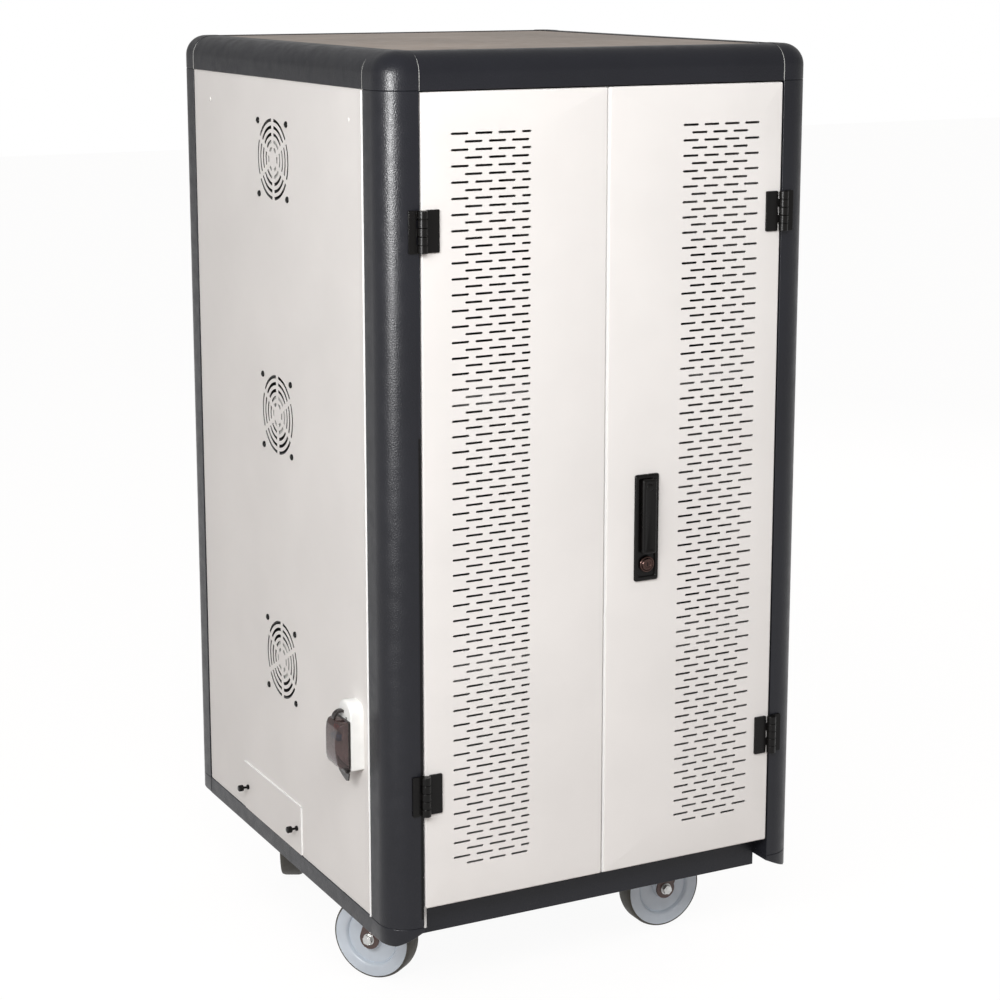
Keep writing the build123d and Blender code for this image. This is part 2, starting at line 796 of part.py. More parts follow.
# Castors: fixed plate with kingpin, swivelling fork with its axle, and the wheel
plate_low = tray_z - castor_plate
crown_high = plate_low - cover_gap
crown_low = crown_high - crown_height
castor_spots = {
    "front_left": (cab_x - castor_x, cab_y - castor_y),
    "front_right": (cab_x + castor_x, cab_y - castor_y),
    "rear_left": (cab_x - castor_x, cab_y + castor_y),
    "rear_right": (cab_x + castor_x, cab_y + castor_y),
}
with BuildPart() as castor_plates:
    for spot in castor_spots.values():
        with BuildSketch(Plane((*spot, plate_low))):
            Rectangle(castor_plate_length, castor_plate_width)
            with GridLocations(castor_hole_x, castor_hole_y, 2, 2):
                Rectangle(castor_bolt_hole, castor_bolt_hole, mode=Mode.SUBTRACT)
        extrude(amount=castor_plate)
        with BuildSketch(Plane((*spot, crown_low - kingpin_head))):
            Circle(kingpin_radius)
        extrude(amount=plate_low - crown_low + kingpin_head)
        with BuildSketch(Plane((*spot, crown_low - cover_gap - kingpin_head))):
            Circle(kingpin_radius + steel)
        extrude(amount=kingpin_head)
save(castor_plates.part, "castor_plates")

with BuildPart() as castor_bolts:
    for x, y in castor_spots.values():
        with BuildSketch(Plane((x, y, plate_low - bolt_head))):
            with GridLocations(castor_hole_x, castor_hole_y, 2, 2):
                RegularPolygon(bolt_head_radius, 6)
        extrude(amount=bolt_head)
        with BuildSketch(Plane((x, y, plate_low))):
            with GridLocations(castor_hole_x, castor_hole_y, 2, 2):
                Rectangle(bolt_neck, bolt_neck)
        extrude(amount=castor_plate + steel)
save(castor_bolts.part, "castor_bolts")

leg_in = hub_width / 2 + fork_gap
leg_out = leg_in + fork_wall


def castor_plane(name, height):
    """Level plane on a castor's pivot, its X axis along the trail."""
    turn = radians(castor_angles[name])
    return Plane((*castor_spots[name], height), (cos(turn), sin(turn), 0), (0, 0, 1))


def across(name, offset):
    """Upright plane across the wheel's width, X along the trail and Y up, from the pivot at the floor."""
    level = castor_plane(name, 0)
    return Plane(level.origin + level.y_dir * offset, level.x_dir, -level.y_dir)


for name in castor_spots:
    with BuildPart() as fork:
        with BuildSketch(castor_plane(name, crown_low)):
            Circle(swivel_radius)
            with Locations((crown_shift, 0)):
                Rectangle(fork_leg_width, 2 * leg_out)
            Circle(kingpin_radius + pin_clearance, mode=Mode.SUBTRACT)
        extrude(amount=crown_height)
        for side in (-1, 1):
            with BuildSketch(across(name, side * (leg_in + fork_wall / 2))):
                with Locations((castor_trail, wheel_radius)):
                    Circle(fork_end_radius)
                with Locations((crown_shift, crown_low + crown_height / 2)):
                    Rectangle(fork_leg_width, crown_height)
                make_hull()
            extrude(amount=fork_wall / 2, both=True)
        with BuildSketch(across(name, -leg_out)):
            with Locations((castor_trail, wheel_radius)):
                Circle(axle_radius)
        extrude(amount=-2 * leg_out)
        for side in (-1, 1):
            with BuildSketch(across(name, side * (leg_out + axle_head / 2))):
                with Locations((castor_trail, wheel_radius)):
                    RegularPolygon(axle_head_radius, 6)
            extrude(amount=axle_head / 2, both=True)
    save(fork.part, f"castor_fork_{name}")

for name in castor_spots:
    rim = wheel_width / 2
    half = [
        (castor_trail + radius, offset) for radius, offset in (
            (wheel_radius, rim - tread_round), (wheel_radius - tread_round, rim), (hub_radius, rim),
            (hub_radius, hub_width / 2), (axle_radius + pin_clearance, hub_width / 2),
        )
    ]
    with BuildPart() as wheel:
        with BuildSketch(castor_plane(name, wheel_radius)):
            with BuildLine():
                Polyline(*half, *[(u, -v) for u, v in reversed(half)], close=True)
            make_face()
        hub = across(name, 0)
        centre = hub.origin + hub.x_dir * castor_trail + Vector(0, 0, wheel_radius)
        revolve(axis=Axis(tuple(centre), tuple(hub.z_dir)))
    save(wheel.part, f"castor_wheel_{name}")

# Inner rack: four uprights, two device shelves with dividers, the cable walls and power strips
rack_left = panel_inner + upright_x
rack_right = 2 * cab_x - rack_left
rack_rear = side_low_y + shelf_depth
tray_top = tray_z + steel
with BuildPart() as uprights:
    for x0, x1 in ((panel_inner, rack_left), (rack_right, 2 * cab_x - panel_inner)):
        for y0 in (side_low_y, rack_rear - upright_y):
            block(x0, x1, y0, y0 + upright_y, tray_top, panel_top_z)
            block(
                x0 + upright_wall, x1 - upright_wall, y0 + upright_wall, y0 + upright_y - upright_wall,
                tray_top, panel_top_z, mode=Mode.SUBTRACT,
            )
save(uprights.part, "rack_uprights")

with BuildPart() as shelves:
    for z in shelf_heights:
        block(rack_left, rack_right, side_low_y, rack_rear, z - shelf_turn, z)
        block(
            rack_left + steel, rack_right - steel, side_low_y + steel, rack_rear - steel,
            z - shelf_turn, z - steel, mode=Mode.SUBTRACT,
        )
save(shelves.part, "device_shelves")

divider_pitch = (rack_right - rack_left) / (divider_count + 1)
with BuildPart() as dividers:
    for z in shelf_heights:
        for i in range(divider_count):
            x = rack_left + (i + 1) * divider_pitch
            block(
                x - steel / 2, x + steel / 2, side_low_y + divider_inset,
                side_low_y + divider_inset + divider_depth, z, z + divider_height,
            )
save(dividers.part, "device_dividers")

wall_spans = [
    (low + cable_slot, high) for low, high in zip(
        (tray_top, *shelf_heights), (*[z - shelf_turn for z in shelf_heights], panel_top_z)
    )
]
with BuildPart() as cable_walls:
    for z0, z1 in wall_spans:
        block(panel_inner, 2 * cab_x - panel_inner, rack_rear, rack_rear + sheet, z0, z1)
save(cable_walls.part, "cable_walls")

with BuildPart() as strips:
    for z in shelf_heights:
        low = z + strip_rise
        block(
            cab_x - strip_width / 2, cab_x + strip_width / 2, rack_rear + sheet,
            rack_rear + sheet + strip_depth, low, low + strip_height,
        )
        strip_back = rack_rear + sheet + strip_depth
        with BuildSketch(Plane((cab_x, strip_back, low + strip_height / 2), (1, 0, 0), (0, -1, 0))):
            with GridLocations(strip_width / strip_sockets, 1, strip_sockets, 1):
                Rectangle(socket_size, socket_size)
        extrude(amount=socket_depth, mode=Mode.SUBTRACT)
save(strips.part, "power_strips")

# Painted rivets near the top of the side panels
with BuildPart() as rivets:
    for face, step in ((panel_outer, -1), (2 * cab_x - panel_outer, 1)):
        for y in (rivet_front_y, rivet_rear_y):
            with BuildSketch(Plane((face, cab_y + y, rivet_z), (0, 1, 0), (step, 0, 0))):
                Circle(rivet_radius)
            extrude(amount=rivet_height)
save(rivets.part, "panel_rivets")
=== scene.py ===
import json
from math import cos, pi, radians, sin

import bmesh
import bpy
from bpy.props import FloatProperty, FloatVectorProperty, IntProperty, PointerProperty
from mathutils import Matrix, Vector


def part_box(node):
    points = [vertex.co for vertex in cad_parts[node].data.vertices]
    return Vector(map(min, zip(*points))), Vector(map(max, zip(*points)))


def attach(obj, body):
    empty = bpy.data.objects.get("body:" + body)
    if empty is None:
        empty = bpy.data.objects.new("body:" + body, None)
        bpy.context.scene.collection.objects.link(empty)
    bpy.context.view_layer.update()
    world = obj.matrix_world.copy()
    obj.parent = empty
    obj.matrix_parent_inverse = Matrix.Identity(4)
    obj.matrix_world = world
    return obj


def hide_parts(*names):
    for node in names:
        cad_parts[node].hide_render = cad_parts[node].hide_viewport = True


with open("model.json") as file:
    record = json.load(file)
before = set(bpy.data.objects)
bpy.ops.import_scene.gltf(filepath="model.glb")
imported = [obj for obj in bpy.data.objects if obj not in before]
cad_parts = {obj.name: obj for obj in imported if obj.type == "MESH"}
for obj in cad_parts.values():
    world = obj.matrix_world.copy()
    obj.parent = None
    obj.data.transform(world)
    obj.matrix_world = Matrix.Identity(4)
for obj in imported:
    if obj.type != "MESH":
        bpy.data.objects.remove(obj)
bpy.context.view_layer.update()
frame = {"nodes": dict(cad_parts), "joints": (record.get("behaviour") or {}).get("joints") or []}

bl_info = {
    "name": "Device cart",
    "version": (1, 0, 0),
    "blender": (4, 5, 0),
    "location": "3D View > Sidebar > Cart",
    "description": "Dresses the frame of a device management cart, piece by piece",
    "category": "Object",
}

MM = 0.001
ARC_STEPS = 14
ROUND_STEPS = 48


def colour(label, description, default):
    """A colour that can be changed in the sidebar."""
    return FloatVectorProperty(name=label, description=description, subtype="COLOR", size=3, min=0, max=1,
                               default=default)


def length(label, description, default):
    """A length that can be changed in the sidebar, kept in metres."""
    return FloatProperty(name=label, description=description, unit="LENGTH", default=default, precision=4)


def amount(label, description, default):
    """A plain number that can be changed in the sidebar."""
    return FloatProperty(name=label, description=description, default=default)


def angle(label, description, degrees):
    """An angle that can be changed in the sidebar."""
    return FloatProperty(name=label, description=description, subtype="ANGLE", default=radians(degrees))


class CartFinish(bpy.types.PropertyGroup):
    """Colours of the cart's paints, plastics and metals."""

    frame_paint: colour("Frame", "Charcoal powder coat on posts, caps and rails", (0.0135, 0.0140, 0.0185))
    panel_paint: colour("Panels", "Light powder coat on doors and sides", (0.80, 0.775, 0.755))
    top_paint: colour("Top", "Taupe powder coat on the top panel", (0.335, 0.265, 0.215))
    inner_paint: colour("Inside", "Paint on the rack, shelves and tray", (0.55, 0.545, 0.54))
    # This black also makes the strips of painted shade in the post's gap and the key slit.
    black_paint: colour("Black fittings", "Hinges, lock, screws", (0.0050, 0.0045, 0.0043))
    zinc: colour("Zinc", "Plated bolts, pins and rods", (0.56, 0.56, 0.55))
    fork_steel: colour("Fork", "Pressed steel of the castor forks", (0.070, 0.034, 0.028))
    wheel_disc: colour("Wheel", "Moulded centre of the castor wheels", (0.64, 0.70, 0.77))
    tread: colour("Tread", "Bonded tread of the castor wheels", (0.055, 0.050, 0.040))
    white_plastic: colour("White plastic", "Breaker base and power strips", (0.86, 0.86, 0.84))
    # On the breaker box holes this black is painted shade.
    black_plastic: colour("Black plastic", "Fans, dividers, breaker box holes", (0.018, 0.018, 0.018))
    smoked: colour("Smoked cover", "Clear tinted plastic of the breaker cover", (0.25, 0.185, 0.18))
    dark_plastic: colour("Cover fittings", "Hook, rim and hinge of the breaker cover", (0.022, 0.018, 0.017))
    breaker_grey: colour("Breaker", "Moulded body of the breaker", (0.74, 0.74, 0.73))
    toggle_blue: colour("Toggle", "Breaker toggle", (0.02, 0.17, 0.45))
    flag_red: colour("Flag", "Small red flag on the breaker", (0.60, 0.05, 0.035))
    key_metal: colour("Key", "Plated face of the key cylinder", (0.075, 0.046, 0.040))
    # This grey also colours the pale bands of painted highlight at the cap seams.
    hub_grey: colour("Fan hub", "Bare disc on the fan hubs", (0.52, 0.52, 0.50))
    # Whiter than the panel paint: on the beads along the panel and door edges it is painted highlight; it
    # also colours the pale strip at the end of the bottom front rail.
    edge_white: colour("Edge beads", "Filler beads along the panel edges", (0.92, 0.92, 0.91))


class CartSizes(bpy.types.PropertyGroup):
    """Sizes of the dressed pieces that the frame does not fix."""

    edge: length("Edge rounding", "Rounding of pressed edges", 0.0010)
    seam: length("Seam", "How far rails lie behind the corner caps", 0.0005)
    # The pale line where a rail meets a cap is painted highlight on that seam.
    seam_highlight_width: length("Seam line", "Width of the pale line where a rail meets a cap", 0.0008)
    door_bend: length("Door bend", "Outer bend radius of the door folds", 0.0025)
    slot_height: length("Slot height", "Height of a vent slot", 0.0032)
    slot_row: length("Slot rows", "Distance from one row of slots to the next", 0.0105)
    slot_rows: IntProperty(name="Rows", description="Rows of vent slots in each door", default=96)
    slot_top: length("Slot top", "Height of the first row above the floor", 1.234)
    grille_pitch: length("Grille pitch", "Distance between the rings of a fan grille", 0.010)
    grille_inner: length("Grille inner ring", "Radius of the smallest ring of slots", 0.0155)
    grille_slot: length("Grille slot", "Width of a ring slot", 0.0048)
    grille_rings: IntProperty(name="Rings", description="Rings of slots in a fan grille", default=5)
    grille_spoke: length("Grille spoke", "Width of the bars between ring slots", 0.007)
    skin: length("Skin", "Thickness of the side sheet at the grilles", 0.0006)
    foot: length("Left rail top", "Height of the left bottom rail above the floor", 0.155)
    shoe_rise: length("Shoe rise", "How far the underside of a bottom shoe rises towards its rail", 0.018)
    screw_reach: length("Thumbscrews", "How far a thumbscrew stands out", 0.017)
    # The beads along the panel edges carry painted highlight.
    bead: length("Beads", "Width of the filler beads along the panel edges", 0.0026)


class CartView(bpy.types.PropertyGroup):
    """Where the camera stands and how bright the lamps are."""

    camera_place: FloatVectorProperty(name="Camera", description="Camera position", size=3,
                                      subtype="TRANSLATION", default=(-1.5386, -3.0580, 1.4569))
    yaw: angle("Yaw", "Turn to the right of straight ahead", 27.49)
    pitch: angle("Pitch", "Tilt below the horizon", 11.17)
    lens: amount("Lens", "Focal length in millimetres", 83.435)
    shift: amount("Shift", "Lens shift upwards", -0.085)
    key_power: amount("Key", "Power of the main soft lamp in watts", 31.0)
    side_power: amount("Side", "Power of the lamp on the left in watts", 44.0)
    fill_power: amount("Fill", "Power of the soft lamp behind, in watts", 26.0)
    glint_power: amount("Glint", "Power of the strip lamp that lights the corner post", 98.0)
    sky: amount("Sky", "Strength of the even light from all round", 0.46)


# Placing

post_low, post_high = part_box("post_front_left")
rear_post_low, rear_post_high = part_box("post_rear_left")
left, right = post_low.x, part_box("post_front_right")[1].x
front, rear = post_low.y, rear_post_high.y
middle = (left + right) / 2
post_bottom, post_top = post_low.z, post_high.z
cap_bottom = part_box("bottom_corner_caps")[0].z
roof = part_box("top_corner_caps")[1].z
post_width = post_high.x - post_low.x
post_deep_front = post_high.y - post_low.y
post_deep_rear = rear_post_high.y - rear_post_low.y
corner_radius = 0.040
top_radius = 0.030
wall = 0.003

# Each corner's name, its two outer faces, the ways into the cabinet and the post's depth
CORNERS = (
    ("front_left", left, front, 1, 1, post_deep_front),
    ("front_right", right, front, -1, 1, post_deep_front),
    ("rear_left", left, rear, 1, -1, post_deep_rear),
    ("rear_right", right, rear, -1, -1, post_deep_rear),
)


def on_front(x, z, depth):
    """A point of the front, depth into the cabinet."""
    return Vector((x, front + depth, z))


def on_left(y, z, depth):
    """A point of the left side, depth into the cabinet."""
    return Vector((left + depth, y, z))


def facing(x, z, y):
    """A point of a piece on the front, given by its own y."""
    return Vector((x, y, z))


def upright(x, y, z):
    """A point of a piece that is drawn in plan."""
    return Vector((x, y, z))


def centre_of(node):
    """Middle of a node of the frame."""
    low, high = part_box(node)
    return (low + high) / 2


def joint(name):
    """The frame's joint of that name."""
    return next(j for j in frame["joints"] if j["name"] == name)


# Outlines

def arc(cx, cy, radius, start, end, steps=ARC_STEPS):
    """Points along an arc, angles in degrees."""
    return [
        (cx + radius * cos(radians(start + (end - start) * i / steps)),
         cy + radius * sin(radians(start + (end - start) * i / steps)))
        for i in range(steps + 1)
    ]


def circle(radius, steps=ROUND_STEPS):
    """Points round a circle."""
    return [(radius * cos(2 * pi * i / steps), radius * sin(2 * pi * i / steps)) for i in range(steps)]


def rectangle(x0, x1, y0, y1):
    """Outline of a rectangle, anticlockwise."""
    return [(x0, y0), (x1, y0), (x1, y1), (x0, y1)]


def rounded_rectangle(x0, x1, y0, y1, r, steps=4):
    """Outline of a rectangle with corners of radius r, anticlockwise."""
    return (arc(x1 - r, y0 + r, r, -90, 0, steps) + arc(x1 - r, y1 - r, r, 0, 90, steps)
            + arc(x0 + r, y1 - r, r, 90, 180, steps) + arc(x0 + r, y0 + r, r, 180, 270, steps))


def stadium(x0, x1, mid, height, steps=4):
    """A slot with round ends."""
    r = height / 2
    return arc(x1 - r, mid, r, -90, 90, steps) + arc(x0 + r, mid, r, 90, 270, steps)


def drawn_in(points, low, high, inset):
    """A front outline drawn in towards the middle of its box, by the inset at the box's edges."""
    cx, cz = (low.x + high.x) / 2, (low.z + high.z) / 2
    half_x, half_z = (high.x - low.x) / 2, (high.z - low.z) / 2
    return [(cx + (x - cx) * (1 - inset / half_x), cz + (z - cz) * (1 - inset / half_z)) for x, z in points]


def there_and_back(profile):
    """A profile of (radius, height) followed by its mirror image."""
    return profile + [(radius, -height) for radius, height in reversed(profile)]


# Mesh building

def ring(bm, points):
    """A closed row of vertices."""
    return [bm.verts.new(p) for p in points]


def bridge(bm, a, b):
    """Quads between two rings of the same length."""
    n = len(a)
    for i in range(n):
        bm.faces.new((a[i], a[(i + 1) % n], b[(i + 1) % n], b[i]))


def stack(bm, rings):
    """A solid through several rings, closed at both ends."""
    for a, b in zip(rings, rings[1:]):
        bridge(bm, a, b)
    bm.faces.new(list(reversed(rings[0])))
    bm.faces.new(rings[-1])


def loft(bm, place, sections):
    """A solid through outlines, each given with its depth."""
    stack(bm, [ring(bm, [place(u, v, w) for u, v in outline]) for outline, w in sections])


def prism(bm, place, outline, w0, w1):
    """A solid of one outline between two depths."""
    loft(bm, place, [(outline, w0), (outline, w1)])


def fill(bm, loops):
    """Triangles between an outer ring and its holes; returns the faces."""
    edges = []
    for loop in loops:
        for i, v in enumerate(loop):
            edges.append(bm.edges.new((v, loop[(i + 1) % len(loop)])))
    made = bmesh.ops.triangle_fill(bm, use_beauty=True, use_dissolve=False, edges=edges)
    return [g for g in made["geom"] if isinstance(g, bmesh.types.BMFace)]


def holed_sheet(bm, place, outline, holes, w0, w1):
    """A flat sheet with holes between two depths; returns its two outer rings."""
    near = [ring(bm, [place(u, v, w0) for u, v in loop]) for loop in (outline, *holes)]
    far = [ring(bm, [place(u, v, w1) for u, v in loop]) for loop in (outline, *holes)]
    faces = fill(bm, near)
    twin = {a: b for n, f in zip(near, far) for a, b in zip(n, f)}
    for face in faces:
        bm.faces.new([twin[v] for v in reversed(face.verts)])
    for n, f in zip(near[1:], far[1:]):
        bridge(bm, n, f)
    return near[0], far[0]


def lathe(bm, place, profile, steps=ROUND_STEPS):
    """A turned body: profile of (radius, height), closed where the radius is zero."""
    rows = []
    for radius, height in profile:
        outline = circle(radius, steps) if radius else [(0, 0)]
        rows.append(ring(bm, [place(u, v, height) for u, v in outline]))
    for a, b in zip(rows, rows[1:]):
        if len(a) == 1 or len(b) == 1:
            tip, rim = (a[0], b) if len(a) == 1 else (b[0], a)
            for i in range(steps):
                bm.faces.new((tip, rim[i], rim[(i + 1) % steps]))
        else:
            bridge(bm, a, b)


def barrel(bm, place, profile, steps):
    """A turned body with flat ends: profile of (radius, height)."""
    loft(bm, place, [(circle(radius, steps), height) for radius, height in profile])


def piece(name, bm, body, finish, stands_for=(), bevel=0.0, segments=2, sharp=35):
    """Turns a mesh under construction into a finished piece that rides on its body."""
    bmesh.ops.recalc_face_normals(bm, faces=bm.faces)
    mesh = bpy.data.meshes.new(name)
    bm.to_mesh(mesh)
    bm.free()
    mesh.shade_smooth()
    mesh.set_sharp_from_angle(angle=radians(sharp))
    obj = bpy.data.objects.new(name, mesh)
    bpy.context.scene.collection.objects.link(obj)
    obj.data.materials.append(finish_of(finish))
    if bevel:
        mod = obj.modifiers.new("Edges", "BEVEL")
        mod.width = bevel
        mod.segments = segments
        mod.limit_method = "ANGLE"
        mod.angle_limit = radians(sharp)
        mod.harden_normals = True
    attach(obj, body)
    if stands_for:
        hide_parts(*stands_for)


# Materials

def shader(name):
    """Starts a material with one Principled shader; returns its tree and that shader."""
    made = bpy.data.materials.new(name)
    made.use_nodes = True
    return made.node_tree, made.node_tree.nodes["Principled BSDF"]


def noise(tree, scale, detail=2.0, stretch=(1, 1, 1)):
    """Noise in the cart's own metres; returns its factor socket."""
    coords = tree.nodes.new("ShaderNodeTexCoord")
    mapping = tree.nodes.new("ShaderNodeMapping")
    mapping.inputs["Scale"].default_value = stretch
    made = tree.nodes.new("ShaderNodeTexNoise")
    made.inputs["Scale"].default_value = scale
    made.inputs["Detail"].default_value = detail
    tree.links.new(coords.outputs["Object"], mapping.inputs["Vector"])
    tree.links.new(mapping.outputs["Vector"], made.inputs["Vector"])
    return made.outputs["Fac"]


def spread(tree, socket, low, high):
    """Maps the middle of a noise to a range."""
    made = tree.nodes.new("ShaderNodeMapRange")
    made.inputs["From Min"].default_value, made.inputs["From Max"].default_value = 0.3, 0.7
    made.inputs["To Min"].default_value, made.inputs["To Max"].default_value = low, high
    tree.links.new(socket, made.inputs["Value"])
    return made.outputs["Result"]


def tint(tree, bsdf, clouds, base, dark, light):
    """Base colour that wanders between a darker and a lighter shade."""
    made = tree.nodes.new("ShaderNodeMix")
    made.data_type = "RGBA"
    made.inputs[6].default_value = (*[c * dark for c in base], 1)
    made.inputs[7].default_value = (*[min(1, c * light) for c in base], 1)
    tree.links.new(spread(tree, clouds, 0, 1), made.inputs[0])
    tree.links.new(made.outputs[2], bsdf.inputs["Base Color"])


def sheen(tree, bsdf, spots, low, high):
    """Roughness that wanders between two values."""
    tree.links.new(spread(tree, spots, low, high), bsdf.inputs["Roughness"])


def bump(tree, bsdf, socket, depth):
    """Raises the surface by a factor times depth in millimetres."""
    made = tree.nodes.new("ShaderNodeBump")
    made.inputs["Distance"].default_value = depth * MM
    tree.links.new(socket, made.inputs["Height"])
    tree.links.new(made.outputs["Normal"], bsdf.inputs["Normal"])


def coat(name, base, grain, depth, rough, mottle, gloss=0.5):
    """Powder coat: fine orange peel, slight clouds of tone and uneven sheen."""
    tree, bsdf = shader(name)
    tint(tree, bsdf, noise(tree, 7, 3), base, 1 - mottle, 1 + mottle)
    sheen(tree, bsdf, noise(tree, 55, 3), rough - 0.05, rough + 0.06)
    bsdf.inputs["Specular IOR Level"].default_value = gloss
    bump(tree, bsdf, noise(tree, grain, 2), depth)


def metal(name, base, rough, scratch=(1, 1, 12)):
    """Plated metal with fine drawn scratches and dull spots."""
    tree, bsdf = shader(name)
    bsdf.inputs["Metallic"].default_value = 1.0
    tint(tree, bsdf, noise(tree, 120, 4), base, 0.8, 1.1)
    lines = noise(tree, 900, 2, scratch)
    sheen(tree, bsdf, lines, rough - 0.08, rough + 0.14)
    bump(tree, bsdf, lines, 0.02)


def plastic(name, base, rough, grain=1200, depth=0.03, mottle=0.05):
    """Moulded plastic with a fine spark-eroded texture."""
    tree, bsdf = shader(name)
    tint(tree, bsdf, noise(tree, 30, 2), base, 1 - mottle, 1 + mottle)
    sheen(tree, bsdf, noise(tree, 200, 2), rough - 0.05, rough + 0.05)
    bump(tree, bsdf, noise(tree, grain, 2), depth)


def clear_plastic(name, base):
    """Tinted see-through plastic with faint moulding waves and fingermarks."""
    tree, bsdf = shader(name)
    tint(tree, bsdf, noise(tree, 40, 3), base, 0.9, 1.1)
    sheen(tree, bsdf, noise(tree, 90, 4), 0.01, 0.05)
    bsdf.inputs["Transmission Weight"].default_value = 0.92
    bsdf.inputs["IOR"].default_value = 1.46
    bump(tree, bsdf, noise(tree, 160, 2), 0.02)


# How each finish is made, the colour that it takes and its grain
FINISHES = {
    "frame_coat": (coat, "frame_paint", dict(grain=560, depth=0.36, rough=0.33, mottle=0.10, gloss=0.28)),
    "panel_coat": (coat, "panel_paint", dict(grain=900, depth=0.04, rough=0.55, mottle=0.025, gloss=0.12)),
    "top_coat": (coat, "top_paint", dict(grain=900, depth=0.04, rough=0.34, mottle=0.16, gloss=0.3)),
    "inner_coat": (coat, "inner_paint", dict(grain=900, depth=0.04, rough=0.45, mottle=0.04)),
    "black_coat": (coat, "black_paint", dict(grain=1100, depth=0.03, rough=0.30, mottle=0.15, gloss=0.18)),
    "zinc_plate": (metal, "zinc", dict(rough=0.30)),
    "fork_coat": (coat, "fork_steel", dict(grain=700, depth=0.12, rough=0.38, mottle=0.25, gloss=0.6)),
    "wheel_disc": (plastic, "wheel_disc", dict(rough=0.36, grain=700, depth=0.05, mottle=0.06)),
    "wheel_tread": (plastic, "tread", dict(rough=0.62, grain=500, depth=0.12, mottle=0.25)),
    "white_moulding": (plastic, "white_plastic", dict(rough=0.38)),
    "black_moulding": (plastic, "black_plastic", dict(rough=0.42, grain=900, depth=0.05, mottle=0.1)),
    "smoked_plastic": (clear_plastic, "smoked", dict()),
    "toggle_moulding": (plastic, "toggle_blue", dict(rough=0.3)),
    "red_moulding": (plastic, "flag_red", dict(rough=0.35)),
    "dark_moulding": (plastic, "dark_plastic", dict(rough=0.30, grain=700, depth=0.04, mottle=0.2)),
    "breaker_grey": (plastic, "breaker_grey", dict(rough=0.32, grain=500, depth=0.04, mottle=0.2)),
    "key_plating": (metal, "key_metal", dict(rough=0.22, scratch=(1, 1, 1))),
    "hub_disc": (plastic, "hub_grey", dict(rough=0.5)),
    # edge_bead: whiter than panel_coat; on the edge beads it is painted highlight.
    "edge_bead": (plastic, "edge_white", dict(rough=0.35, grain=800, depth=0.03, mottle=0.02)),
}


def finish_of(name):
    """The material of that name, made on first use from the colours in the sidebar."""
    if name not in bpy.data.materials:
        maker, paint, grain = FINISHES[name]
        maker(name, getattr(bpy.context.scene.cart_finish, paint), **grain)
    return bpy.data.materials[name]


def dress(name, *nodes):
    """Gives carried-over nodes of the frame a finish."""
    for node in nodes:
        obj = frame["nodes"][node]
        obj.data.materials.clear()
        obj.data.materials.append(finish_of(name))


# Corners

def corner_outline(cx, cy, sx, sy, side, inset=0.0):
    """Solid outline of a corner piece: round outside, straight where it meets the rails."""
    bend = arc(corner_radius, corner_radius, corner_radius - inset, 180, 270)
    points = [(inset, side), *bend, (post_width, inset), (post_width, side)]
    return [(cx + sx * u, cy + sy * v) for u, v in points]


class CART_OT_posts(bpy.types.Operator):
    """Adds the four rolled corner posts and, down the front left one, a black strip of painted shade for the
    gap at its edge
    """

    bl_idname = "cart.posts"
    bl_label = "Posts"

    def execute(self, context):
        lip, lap = 0.022, 0.004
        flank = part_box("bottom_front_rail")[0].y - front + lap
        outer = arc(corner_radius, corner_radius, corner_radius, 180, 270)
        inner = arc(corner_radius, corner_radius, corner_radius - wall, 270, 180)
        for name, cx, cy, sx, sy, side in CORNERS:
            section = [
                (0, side), *outer, (post_width, 0), (post_width, flank), (post_width - wall, flank),
                (post_width - wall, wall), *inner, (wall, side - wall), (lip, side - wall), (lip, side),
            ]
            bm = bmesh.new()
            prism(bm, upright, [(cx + sx * u, cy + sy * v) for u, v in section], post_bottom, post_top)
            piece(f"post_skin_{name}", bm, "cabinet", "frame_coat", (f"post_{name}",),
                  context.scene.cart_sizes.edge * 0.8)
        # A thin black strip on the front face near the left post's inner edge: painted shade standing in for
        # the shadow in the gap there.
        margin, width, top = 0.0012, 0.003, 0.838
        end = left + post_width - margin
        groove = rounded_rectangle(end - width, end, post_bottom + 0.012, top, margin, 3)
        bm = bmesh.new()
        prism(bm, on_front, groove, -0.0003, 0.0001)
        piece("post_gap_shade_strip", bm, "cabinet", "black_coat")
        return {"FINISHED"}


class CART_OT_corner_caps(bpy.types.Operator):
    """Adds the domed top caps and the bottom shoes"""

    bl_idname = "cart.corner_caps"
    bl_label = "Corner caps"

    def execute(self, context):
        sizes = context.scene.cart_sizes
        edge = sizes.edge
        level, rim = 0.012, 0.008
        tops, shoes = bmesh.new(), bmesh.new()
        for _, *spot in CORNERS:
            dome = [(corner_outline(*spot, edge), post_top), (corner_outline(*spot), post_top + edge)]
            for i in range(ARC_STEPS + 1):
                turn = radians(90 * i / ARC_STEPS)
                inset = top_radius * (1 - cos(turn))
                dome.append((corner_outline(*spot, inset), roof - top_radius + top_radius * sin(turn)))
            loft(tops, upright, dome)

            cx, _, sx, _, _ = spot
            rings = []
            for inset, z in (
                (rim, cap_bottom), (2 * edge, cap_bottom), (edge * 0.6, cap_bottom + edge * 0.6),
                (0, cap_bottom + 2 * edge), (0, post_bottom - edge), (edge, post_bottom),
            ):
                rise = sizes.shoe_rise if z < post_bottom - 2 * edge else 0
                points = []
                for x, y in corner_outline(*spot, inset):
                    along = (sx * (x - cx) - level) / (post_width - level)
                    points.append(Vector((x, y, z + rise * min(1, max(0, along)))))
                rings.append(ring(shoes, points))
            stack(shoes, rings)
        piece("top_cap_skins", tops, "cabinet", "frame_coat", ("top_corner_caps",),
              edge * 0.9, 3)
        piece("bottom_shoes", shoes, "cabinet", "frame_coat", ("bottom_corner_caps",),
              edge * 0.5)
        return {"FINISHED"}


